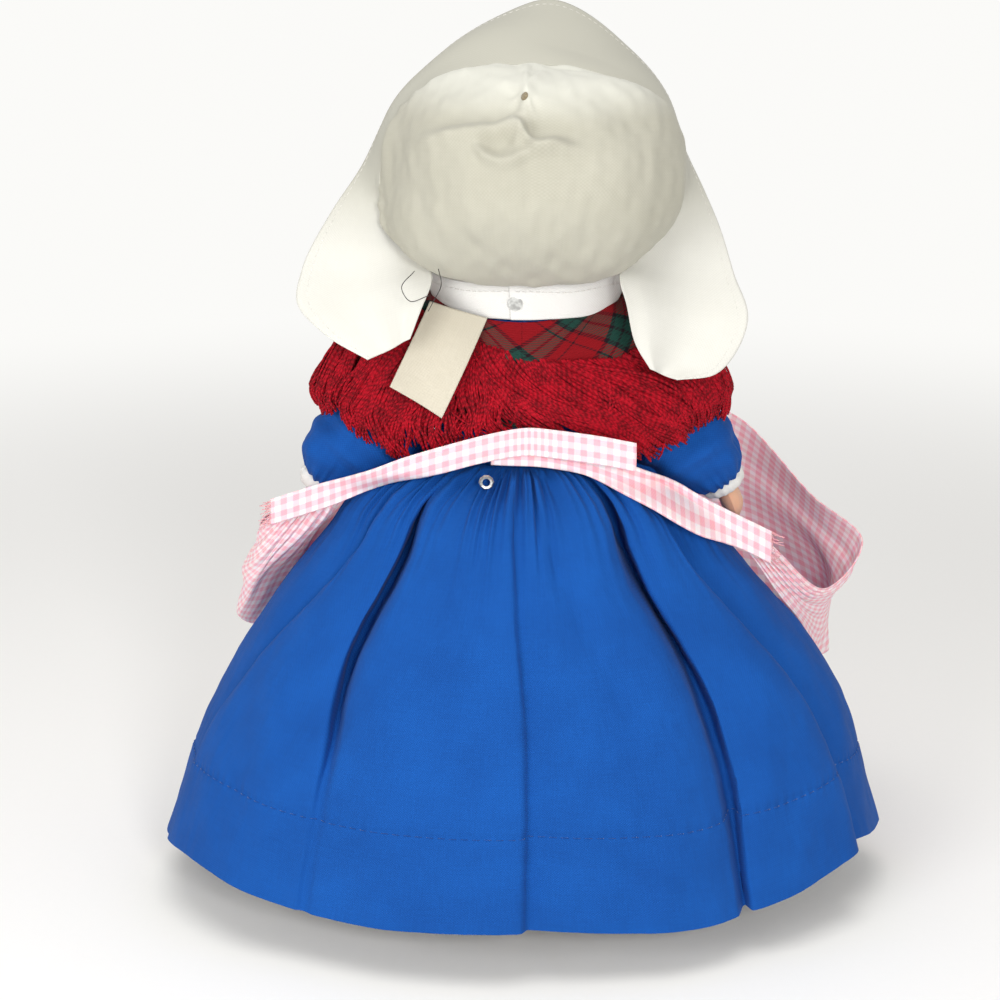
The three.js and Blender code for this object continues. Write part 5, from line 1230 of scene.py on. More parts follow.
@dataclass
class Shawl:
    """The plaid shawl over the shoulders, in two halves, and its yarn fringe."""

    finishes: Finishes
    gown: Dress
    drop: float = 25.5
    over: float = 17.7

    SHARES = (0, 0.2, 0.45, 0.68, 1)
    # Tufts in half of the fringe, strands in each, and points along a strand
    TUFTS, EACH, STEPS = 52, 25, 16
    # For each half of the fringe, by angle from the middle of the back: how far round the yarn is swept,
    # and the shares at which it starts and ends
    SWEEP = {Side.LEFT: ((0.1, 0.3, 0.5, 0.8, 1.2, 2.3, 3.2), (-0.3, -0.28, -0.05, 0, -0.05, -0.25, -0.2)),
             Side.RIGHT: ((-0.34, 0, 0.3, 0.6, 0.9, 1.2, 2.3, 3.2), (0.7, 0.66, 0.5, 0.34, 0.2, 0.03, -0.25, -0.2))}
    START = {Side.LEFT: ((0, 0.4, 1.2, 2, 3.2), (0.28, 0.36, 0.28, 0.4, 0.42)),
             Side.RIGHT: ((-0.3, 0, 0.4, 0.8, 1.2, 2, 3.2), (0.24, 0.28, 0.42, 0.56, 0.42, 0.4, 0.42))}
    END = {Side.LEFT: ((-0.3, 0.2, 0.35, 0.5, 0.62, 0.8, 1.05, 1.4, 2, 3.2),
                       (1, 1.08, 1.2, 1.28, 1.3, 1.2, 1.06, 1.08, 1.02, 0.95)),
           Side.RIGHT: ((0, 0.35, 0.46, 0.64, 0.8, 1, 1.2, 1.5, 2, 3.2),
                        (0.86, 0.92, 1.08, 1.28, 1.26, 1.16, 1.1, 1.08, 1.02, 0.95))}

    def point(self, turn: Array, share: Array, lift: Array | float) -> Array:
        """Places on the shawl.

        Args:
            turn: angle from the middle of the back towards the doll's left.
            share: share of the way from neck to edge.
            lift: distance off the cloth.

        Returns:
            Points with one more axis.
        """
        x, over = self.gown.sleeve_x, self.over
        out = follow(self.SHARES, (20.4, x + 0.9, x + 0.5 * over, x + 0.87 * over, x + 1.36 * over), share)
        fall = follow(self.SHARES, (0.4, 0, 0.13 * over, 0.5 * over, 1.3 * over), share)
        back = follow((0, 0.2, 0.6, 1), (15.2, 15.9, 16.0, 16.6), share)
        side = np.sin(turn) ** 2
        top = SHOULDER_Z - 8 + over - fall + lift * 0.4
        low = self.gown.neck_z - 0.3 - (self.drop - 0.6) * share
        return stack((out + lift) * np.sin(turn), (back + lift) * np.cos(turn), low + (top - low) * side)

    def spread(self, piece: bpy.types.Object, side: Side) -> None:
        """Bakes a piece's transform into its mesh."""
        f"{side.label}_arm"
        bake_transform(piece)

    def build(self) -> None:
        """Makes and dresses both halves and their fringe."""
        for side in Side:
            self.half(side)
            self.fringe(side)

    def half(self, side: Side) -> None:
        """Half of the plaid cloth, from the middle of the back to the open edge at the throat."""
        share, round_it = across(80, 150)
        throat = math.pi - 0.13 - 0.5 * (1 - share) ** 2
        turn = round_it * throat * side.value
        points = self.point(turn, share * 0.96, 0.0)
        sway = Wander(51, 6, 22, axes=3).at(points) * 0.35 * ease(share, 0.1, 0.4)
        points = raised(points, -outward(points) * side.value, sway + 0.2)
        u = turn * (16 + 16 * share)
        v = share * 30
        uv = stack(u * 0.77 + v * 0.64, v * 0.77 - u * 0.64)
        piece = Form.grid(f"shawl_{side.label}", points, uv)
        Form.thicken(piece, 0.4)
        self.spread(piece, side)
        nodes = [f"shawl_over_{side.label}_arm", *(["shawl"] if side is Side.LEFT else [])]
        cover(piece, self.finishes.plaid, "plaid_wool", *nodes)
        log.info("%s bends with the %s arm", piece.name, side.label)

    def fringe(self, side: Side) -> None:
        """Loose yarn along half of the shawl's edge, in uneven tufts."""
        rng = np.random.default_rng(60 + side.value)
        tufts, count = self.TUFTS, self.TUFTS * self.EACH

        def by_tuft(values: Array) -> Array:
            """A value of each tuft, for every strand in it."""
            return np.repeat(values, self.EACH)

        first, last = (0.1 if side is Side.LEFT else -0.34), math.pi - 0.25
        spread = first + (last - first) * (np.arange(tufts) + rng.uniform(-0.3, 0.3, tufts)) / tufts
        middle = by_tuft(spread)
        root = middle + rng.normal(0, 0.05, count)
        comb = follow(*self.SWEEP[side], middle) + by_tuft(rng.normal(0, 0.08, tufts))
        stray = np.where(rng.uniform(0, 1, count) < 0.06, rng.normal(-0.1, 0.25, count), 0)
        tip = middle + comb + stray + rng.normal(0, 0.04, count)
        start = follow(*self.START[side], root) + 0.2 * rng.uniform(0, 1, count) ** 1.5
        end = follow(*self.END[side], tip)
        end = end + by_tuft(rng.normal(0, 0.05, tufts)) + rng.uniform(-0.1, 0.06, count)
        run = np.linspace(0, 1, self.STEPS)
        share = start[:, None] + (end - start)[:, None] * run**0.85
        spans = (0.015, 0.05), (4, 9), (0, TAU)
        size, turns, phase = (by_tuft(rng.uniform(*span, tufts))[:, None] for span in spans)
        curl = size * np.sin(run * turns + phase)
        spans = (0.002, 0.008), (9, 18), (0, TAU)
        size, turns, phase = (rng.uniform(*span, count)[:, None] for span in spans)
        kink = size * np.sin(run * turns + phase)
        turn = (root[:, None] + (tip - root)[:, None] * run**0.9 + (curl + kink) * run) * side.value
        high = by_tuft(rng.uniform(0.3, 1.9, tufts)) + rng.uniform(0, 1.4, count)
        lift = 0.5 + high[:, None] * np.sin(run * 2.6) + 40 * (curl * 0.3 + kink) * run
        paths = self.point(turn, np.clip(share, 0, 1), lift)
        paths[..., 2] -= np.maximum(share - 1, 0) * 26
        radius = rng.uniform(0.28, 0.42, count)[:, None] * (1 - 0.35 * run**3)
        piece = Form.strands(f"fringe_{side.label}", paths, radius, 5)
        self.spread(piece, side)
        nodes = [f"shawl_fringe_over_{side.label}_arm", *(["shawl_fringe"] if side is Side.LEFT else [])]
        cover(piece, self.finishes.red_yarn, "red_yarn", *nodes)
        log.info("%s has %d strands", piece.name, count)


@dataclass
class Label:
    """A bare tape label caught in the collar seam."""

    finishes: Finishes
    width: float = 13.5
    length: float = 22.6

    # Corners: the top ones and the loose ones, each from the middle outwards
    TOP = ((7.7, 14.4, 139.9), (20.6, 13.4, 143.4))
    LOOSE = ((17.9, 21.2, 118.5), (29.4, 20.4, 125.8))

    def build(self) -> None:
        """Makes and dresses the label."""
        u, v = across(60, 40)
        top, loose = (np.asarray(ends, float) for ends in (self.TOP, self.LOOSE))
        points = sum(corner * share[..., None] for corner, share in
                     zip((*top, *loose), ((1 - u) * (1 - v), (1 - u) * v, u * (1 - v), u * v), strict=True))
        points[..., 1] += 1.5 * np.sin(u * math.pi) + 0.5 * np.sin(v * 4 + u * 3) + 0.9 * ease(u, 0.75, 1) * v
        piece = Form.grid("label_tape", points, stack(v * self.width, u * self.length))
        Form.thicken(piece, 0.25)
        dress(piece, self.finishes.label, "torso", "white_cotton", "sewn_label")


@dataclass
class Bonnet:
    """The organdy bonnet: a puffed crown, a stiff peaked brim and a lappet on each side."""

    finishes: Finishes
    half_width: float = 36.0
    depth: float = 34.0
    rise: float = HEAD_HEIGHT * 0.571
    fall: float = HEAD_HEIGHT * 0.488
    sag: float = HEAD_HEIGHT * 0.13
    middle: tuple[float, float, float] = (0.0, 4.0, CHIN_Z + HEAD_HEIGHT * 0.56)

    # Shares of the crown's half width, its depth and the head's height
    PEAK = ((1.033, -0.176, -0.013), (0.867, -0.353, 0.212), (0.67, -0.5, 0.44), (0.34, -0.6, 0.686),
            (-0.17, -0.706, 0.865), (-0.696, -0.57, 0.593), (-0.926, -0.46, 0.353), (-1.08, -0.235, 0.012))
    LEFT_OUTER = ((1.216, 0, -0.252), (1.373, 0.265, -0.507), (1.394, 0.441, -0.657), (1.226, 0.588, -0.794),
                  (0.945, 0.691, -0.921))
    LEFT_INNER = ((0.82, 0.15, -0.2), (0.68, 0.26, -0.33), (0.57, 0.42, -0.45), (0.553, 0.53, -0.51),
                  (0.62, 0.66, -0.66), (0.685, 0.706, -0.805))
    RIGHT_OUTER = ((-1.158, -0.118, -0.126), (-1.242, 0, -0.285), (-1.332, 0.235, -0.539), (-1.391, 0.441, -0.771),
                   (-1.2, 0.588, -1.015), (-0.954, 0.676, -1.032))
    RIGHT_INNER = ((-0.905, 0.17, -0.21), (-0.76, 0.26, -0.33), (-0.64, 0.4, -0.44), (-0.6, 0.53, -0.5),
                   (-0.64, 0.63, -0.63), (-0.698, 0.706, -0.838), (-0.786, 0.706, -0.967))

    def pin(self, shares: Sequence) -> Array:
        """Points given in shares of the bonnet's sizes."""
        return np.asarray(shares, float) * (self.half_width, self.depth, HEAD_HEIGHT) + (0, 0, self.middle[2])

    def crown_point(self, back: Array, turn: Array) -> Array:
        """Places on the crown.

        Args:
            back: 0 at the rear pole, 1 at the rim.
            turn: angle round it from the top.

        Returns:
            Points with one more axis.
        """
        top = np.cos(turn)
        rim = np.radians(70 + 29 * ease(top, -1, 1) ** 0.45)
        angle = back * rim
        reach = np.sin(angle) ** 0.9
        high = np.where(top > 0, self.rise, self.fall)
        x = self.half_width * reach * np.sign(np.sin(turn)) * np.abs(np.sin(turn)) ** 0.86
        low = np.exp(-((np.arccos(np.clip(-top, -1, 1)) / 1.1) ** 2))
        bag = ease(back, 0.1, 0.85) * (1 - 0.45 * ease(back, 0.8, 1))
        z = high * reach * np.sign(top) * np.abs(top) ** 0.86 - self.sag * low * bag
        x = x * (1 - 0.11 * ease(np.sin(turn), 0.0, 0.8) * ease(top, -0.7, 0.0))
        return stack(x - 3.2 * (1 - back**4), self.depth * np.cos(angle), z) + self.middle

    def build(self) -> None:
        """Makes and dresses the crown, brim and lappets."""
        self.crown()
        self.brim()

    def crown(self) -> None:
        """The puffed bag at the back, tacked down near its top."""
        a, b = (share * 2 - 1 for share in across(280, 280))
        flat_x, flat_z = a * np.sqrt(1 - b**2 / 2), b * np.sqrt(1 - a**2 / 2)
        back, turn = np.hypot(flat_x, flat_z), np.arctan2(flat_x, flat_z)
        points = self.crown_point(back, turn)
        x, z = points[..., 0], points[..., 2] - self.middle[2]
        normal = outward(points)
        spot = np.hypot(x + 0.7, z - 20)
        ray = np.arctan2(z - 20, x + 0.7)
        tack = -2.2 * np.exp(-((spot / 2.2) ** 1.4))
        drawn = np.sin(ray * 7 + 0.9 * np.sin(ray * 3)) * 0.4 * np.exp(-spot / 8) * ease(spot, 0.5, 3)
        line = z - follow((-30, -8, -2, 0.3, 6, 12.6, 19.4, 30), (9, 11.3, 12.5, 15.2, 15, 13.6, 11.5, 8), x)
        reach = ease(x, -17, -6) * (1 - ease(x, 15, 25))
        shelf = (1.9 * hill(line, 2.6, 2.8) - 2.1 * hill(line, -1.2, 1.7)) * reach
        knob = 2.3 * np.exp(-(((x - 5.2) / 3.0) ** 2 + ((z - 11.4) / 2.8) ** 2) ** 1.3)
        under = -1.6 * hill(z - follow((-12, -8, -2, 5, 8, 12), (11.8, 11.2, 9.6, 7.5, 8.6, 11), x), 0, 1.5)
        under = under * ease(x, -11, -5) * (1 - ease(x, 8, 11))
        string = -0.7 * hill(x + 0.8 - 0.42 * (16.5 - z) * (z < 16.5), 0, 1.1)
        string = string * ease(z, 10.5, 12) * (1 - ease(z, 18.5, 20))
        rim = np.sin(turn * 23 + 2.4 * np.sin(turn * 7)) * 0.22 * hill(1 - back, 0, 0.06) * ease(back, 0.8, 0.95)
        slack = Wander(71, 14, 44, axes=3).at(points) * 0.4
        fine = Wander(73, 3, 9, axes=3).at(points) * 0.1
        held = 1 - ease(back, 0.93, 1.0)
        creases = tack + drawn + shelf + knob + under + string + slack + fine
        points = raised(points, normal, creases * held + rim)
        piece = Form.grid("crown_pouf", points, stack(a * 45, b * 45))
        dress(piece, self.finishes.organdy, "head", "organdy", "bonnet_crown")
        self.threads(points)

    def threads(self, cloth: Array) -> None:
        """Loose sewing threads: one at the tack, with its knot, which also stands in for the shade in the tack's hole,
        and some at the nape.

        Args:
            cloth: the crown's grid of points.
        """
        flat, way = cloth.reshape(-1, 3), outward(cloth).reshape(-1, 3)
        wanted = along([(-0.7, 0, 191), (-1.1, 0, 187), (0.2, 0, 183), (2.2, 0, 180.5)], np.linspace(0, 1, 24))
        near = [int(np.argmin((flat[:, 0] - x) ** 2 + (flat[:, 2] - z) ** 2)) for x, _, z in wanted]
        hung = Form.strands("tack_thread", (flat[near] + way[near] * 0.25)[None], 0.12, 6)
        dress(hung, self.finishes.pale_thread, "head", "organdy")
        # The knot is thread, and is also sized as painted shade for the dark pinhole at the tack
        knot = Form.dome("tack_knot_and_hole_shade", flat[near[0]] + way[near[0]] * 0.1, way[near[0]], 1.0)
        dress(knot, self.finishes.pale_thread, "head", "organdy")
        ends = (((23.5, 24.5, 152.5), (26.3, 26, 149), (24.6, 26.2, 146.2), (20.4, 25.4, 147.2)),
                ((18.2, 27, 153.5), (17.6, 26.6, 150), (19.4, 25.8, 146), (20.6, 25, 143.6)))
        paths = np.stack([along(stops, np.linspace(0, 1, 30)) for stops in ends])
        dress(Form.strands("loose_threads", paths, 0.1, 6), self.finishes.dark_thread, "head", "organdy")

    def brim(self) -> None:
        """The brim and both lappets as one stiff sheet, held by the crown's rim."""
        turns = np.radians(np.linspace(98, -98, 15))
        seam = (self.crown_point(np.full(15, 0.985), turns) - self.middle) * (0.985, 1, 0.985) + self.middle
        outer = [self.pin(self.LEFT_OUTER)[::-1], self.pin(self.PEAK), self.pin(self.RIGHT_OUTER)]
        inner = [self.pin(self.LEFT_INNER)[::-1], seam, self.pin(self.RIGHT_INNER)]
        u, v = across(420, 50)
        # Shares of the sheet at the foot of each lappet, the two ends of the brim and its peak
        steps = (0, 0.27, 0.5, 0.73, 1)
        a = along(np.concatenate(outer), np.interp(u, steps, self.shares(outer, 4)))
        b = along(np.concatenate(inner), np.interp(u, steps, self.shares(inner, 7)))
        points = b + (a - b) * v[..., None]
        top = 1 - np.abs(u * 2 - 1)
        normal = outward(points)
        bow = np.sin(v * math.pi) * (1.2 * ease(top, 0.4, 0.7) - 1.3 * hill(top, 0.2, 0.14))
        soft = Wander(81, 16, 44, axes=3).at(points) * 0.4 * ease(v, 0, 0.3)
        hang = 0.9 * np.sin(v * 7.5 + 0.8) * hill(top, 0.1, 0.16) * ease(v, 0.0, 0.2)
        points = raised(points, normal, bow + soft + hang)
        piece = Form.grid("brim_sheet", points, stack(v * 24, u * 230))
        Form.thicken(piece, 0.3)
        hem = Form.stitches("brim_stitches", points[:, 45] + normal[:, 45] * 0.12, normal[:, 45], 1.6, 0.06)
        cover(piece, self.finishes.stiff, "organdy", "bonnet_brim", "bonnet_left_lappet", "bonnet_right_lappet")
        cover(hem, self.finishes.white_thread, "organdy")
        for part in (piece, hem):
            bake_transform(part)
        log.info("%s turns with the head, its lappets lying on the shoulders", piece.name)

    @staticmethod
    def shares(parts: Sequence[Array], peak: int) -> Array:
        """Shares of length at the ends of three parts of a path and at one point of the middle part."""
        points = np.concatenate(parts)
        steps = lengths(points)
        first, last = len(parts[0]), len(parts[0]) + len(parts[1]) - 1
        return steps[[0, first, first + peak, last, len(points) - 1]] / steps[-1]


@dataclass
class Head:
    """The moulded head with its painted face, sleep eyes and rooted-look wig."""

    finishes: Finishes
    eye: tuple[float, float, float] = (8.6, -11.86, 165.14)
    ball: float = 5.2
    lid: float = 6.05
    opening: tuple[float, float] = (4.4, 3.4)

    # Share of the head's height, then shares of its half width and of its depths before and behind
    SHAPE = ((0, 0.34, 0.6, 0.3), (0.05, 0.52, 0.8, 0.44), (0.12, 0.7, 0.89, 0.58), (0.22, 0.86, 0.94, 0.75),
             (0.35, 0.96, 0.96, 0.91), (0.5, 1, 0.97, 0.99), (0.62, 0.99, 0.97, 1), (0.75, 0.91, 0.92, 0.94),
             (0.87, 0.7, 0.73, 0.74), (0.95, 0.45, 0.47, 0.48), (1, 0.12, 0.12, 0.12))
    SIZES = (20.5, 20.0, 21.0)
    # Features: middle across and up, half sizes, and how far each stands out
    FEATURES = ((0, 0.31, 2.3, 0.05, 2.0), (0, 0.4, 1.7, 0.08, 0.5), (0, 0.186, 3.0, 0.02, 0.8),
                (0, 0.146, 2.6, 0.02, 0.9), (0, 0.166, 3.4, 0.008, -0.45), (0, 0.05, 4.5, 0.05, 1.1),
                (-9, 0.22, 5, 0.09, 1.0), (9, 0.22, 5, 0.09, 1.0), (-1.5, 0.285, 0.9, 0.025, 0.5),
                (1.5, 0.285, 0.9, 0.025, 0.5))
    # Radius of the skin that bulges over an eye, and the distances over which it runs out
    SOCKET, SOCKET_FADE = 6.62, (4.7, 6.6)
    # Strands in the bangs and in the locks of a side, and points along each
    BANGS, LOCKS, STEPS = 420, 620, 16

    def build(self) -> None:
        """Makes and dresses the skin, the eyes and the hair."""
        self.skin()
        for side in Side:
            self.eyes(side)
        self.hair()

    def level(self, share: Array, turn: Array, grow: Array | float = 0.0) -> Array:
        """Places on the plain head.

        Args:
            share: share of the height from chin to top.
            turn: angle round it from the middle of the back.
            grow: distance outside the surface.

        Returns:
            Points with one more axis.
        """
        table = np.asarray(self.SHAPE)
        wide, front, back = (follow(table[:, 0], table[:, k], share) * size + grow
                             for k, size in enumerate(self.SIZES, 1))
        deep = np.where(np.cos(turn) > 0, back, front)
        z = CHIN_Z + HEAD_HEIGHT * share + grow * (share * 2 - 1)
        return stack(wide * np.sin(turn), deep * np.cos(turn), z)

    def features(self, points: Array) -> Array:
        """The same points with the face raised out of them."""
        x, y, z = np.moveaxis(points, -1, 0)
        share = (z - CHIN_Z) / HEAD_HEIGHT
        out = sum(size * np.exp(-(((x - cx) / wide) ** 2) - ((share - up) / high) ** 2)
                  for cx, up, wide, high, size in self.FEATURES)
        y = y - out * np.clip(-y / 16, 0, 1)
        away = np.hypot(np.abs(x) - self.eye[0], z - self.eye[2])
        dome = self.eye[1] - np.sqrt(np.maximum(self.SOCKET**2 - away**2, 0))
        near = (away < self.SOCKET_FADE[1]) & (y < 0)
        mix = np.clip(0.5 + (y - dome) / 2.4, 0, 1) * (1 - ease(away, *self.SOCKET_FADE))
        blended = y + (dome - y) * mix - 1.2 * mix * (1 - mix)
        return stack(x, np.where(near, blended, y), z)

    def skin(self) -> None:
        """The head with open eye holes, and the neck below it."""
        table = np.concatenate([np.linspace(0, 0.62, 190), np.linspace(0.63, 1, 70)])
        share, turn = np.meshgrid(table, np.linspace(0, TAU, 361), indexing="ij")
        points = self.level(share, turn)
        dx, dz = np.abs(points[..., 0]) - self.eye[0], points[..., 2] - self.eye[2]
        wide, high = self.opening
        r = np.hypot(dx / wide, dz / (high * (1.08 - 0.3 * np.clip(dx / wide, -1.3, 1.3) ** 2)))
        front = points[..., 1] < 0
        snap, pull, inside = rim_snap(r, front, 0.09)
        sign = np.sign(points[..., 0])
        x = np.where(snap, sign * (self.eye[0] + dx * pull), points[..., 0])
        z = np.where(snap, self.eye[2] + dz * pull, points[..., 2])
        shape, up = np.asarray(self.SHAPE), (z - CHIN_Z) / HEAD_HEIGHT
        width, depth = (follow(shape[:, 0], shape[:, k + 1], up) * self.SIZES[k] for k in (0, 1))
        y = np.where(snap, -depth * np.sqrt(np.maximum(1 - (x / width) ** 2, 0)), points[..., 1])
        points = self.features(stack(x, y, z))
        points[0] = points[0].mean(0)
        points[-1] = points[-1].mean(0)
        piece = Form.grid("head_skin", points, stack(turn * 20, share * 42), skip=inside)
        dress(piece, self.finishes.face, "head", "doll_plastic", "head_front_shell", "head_back_shell")
        rise, turn = across(14, 73)
        radius = 9 + 0.35 * (1 - rise) ** 4
        neck = stack(radius * np.sin(turn * TAU), radius * np.cos(turn * TAU), 140.4 + rise * 14)
        below = Form.grid("neck_skin", neck, stack(turn * 50, rise * 14))
        dress(below, self.finishes.skin, "head", "doll_plastic")

    def on_eye(self, side: Side, radius: Array | float, pitch: Array, yaw: Array) -> Array:
        """Places on a sphere about an eye's middle, by angles up from the front and to the side."""
        flat = radius * np.cos(yaw)
        middle = np.array(self.eye) * (side.value, 1, 1)
        return middle + stack(radius * np.sin(yaw), -flat * np.cos(pitch), flat * np.sin(pitch))

    def eyes(self, side: Side) -> None:
        """One eyeball with its lid and lashes."""
        rise, turn = across(49, 97)
        pitch, yaw = (turn - 0.5) * TAU, (rise - 0.5) * math.pi
        ball = Form.grid(f"eye_{side.label}", self.on_eye(side, self.ball, pitch, yaw), stack(turn, rise))
        dress(ball, self.finishes.iris, "eyes", "white_plastic", f"{side.label}_eyeball")
        u, v = across(40, 40)
        edge, ends = math.radians(22), math.radians(62)
        points = self.on_eye(side, self.lid - 0.25, edge + u * math.radians(128), ends * (1 - 2 * v))
        lid = Form.grid(f"lid_{side.label}", points, stack(v, u))
        Form.thicken(lid, 0.5)
        dress(lid, self.finishes.skin, "eyes", "doll_plastic", f"{side.label}_eyelid")
        yaw = np.radians(np.linspace(-27, 27, 44))[:, None]
        run = np.linspace(0, 1, 6)
        curl = edge + 0.10 * run**2
        lash = self.on_eye(side, self.lid + 0.2 + 1.35 * run * (1 - yaw**2), curl + 0 * yaw, yaw + 0 * run)
        hairs = Form.strands(f"lashes_{side.label}", lash, 0.09 * (1 - 0.7 * run[None, :]) + 0 * yaw, 4)
        dress(hairs, self.finishes.lash, "eyes", "lash", f"{side.label}_lash")

    def hair(self) -> None:
        """A cap of hair, the bangs and the locks that are seen round the face."""
        share, turn = across(120, 241)
        share = 0.2 + 0.8 * share
        angle = (turn - 0.5) * TAU
        comb = Wander(91, 0.03, 0.12)(angle, share * 0.15) * 0.22
        points = self.level(share, angle, 2.2 + comb)
        hidden = (points[..., 1] < -6.2) & (points[..., 2] < 177.9)
        points[-1] = points[-1].mean(0)
        cap = Form.grid("wig_cap", points, stack(angle * 20, share * 42), skip=hidden)
        Form.thicken(cap, 0.8)
        dress(cap, self.finishes.hair, "head", "hair", "wig")
        rng = np.random.default_rng(95)
        run = np.linspace(0, 1, self.STEPS)
        each = (self.BANGS, 1)
        part = rng.uniform(-0.86, 0.86, each)
        fall = 0.99 + (rng.uniform(0.672, 0.718, each) - 0.99) * run
        sway = 0.012 * np.sin(run * 9 + rng.uniform(0, TAU, each))
        grow = 2.5 + rng.uniform(0, 0.8, each) * np.sin(run * 2.8)
        paths = self.level(fall, math.pi + part * (0.55 + 0.45 * run) + sway, grow)
        bangs = Form.strands("hair_bangs", paths, 0.18 * (1 - 0.5 * run[None, :] ** 3) + 0 * part, 4)
        dress(bangs, self.finishes.hair, "head", "hair")
        each = (self.LOCKS, 1)
        for side in Side:
            back = rng.uniform(0, 1, each)
            top = 0.995 - 0.05 * rng.uniform(0, 1, each)
            low = rng.uniform(0.2, 0.3, each) + 0.04 * back
            fall = top + (low - top) * run**1.15
            start = math.pi - 0.04 - 0.5 * back
            finish = math.radians(112) - 0.55 * back
            swing = start + (finish - start) * ease(run, 0.0, 0.62)
            curl = ease(run, 0.72, 1.0) * rng.uniform(0.4, 1.0, each)
            grow = 1.5 + rng.uniform(0.2, 1.7, each) * np.sin(run * math.pi * 0.9) + 0.9 * curl
            wave = 0.02 * np.sin(run * 14 + rng.uniform(0, TAU, each))
            paths = self.level(np.clip(fall + 0.05 * curl**2, 0.18, 0.998), (swing + wave) * side.value, grow)
            hairs = Form.strands(f"hair_{side.label}", paths, 0.2 * (1 - 0.5 * run[None, :] ** 3) + 0 * back, 4)
            dress(hairs, self.finishes.hair, "head", "hair")


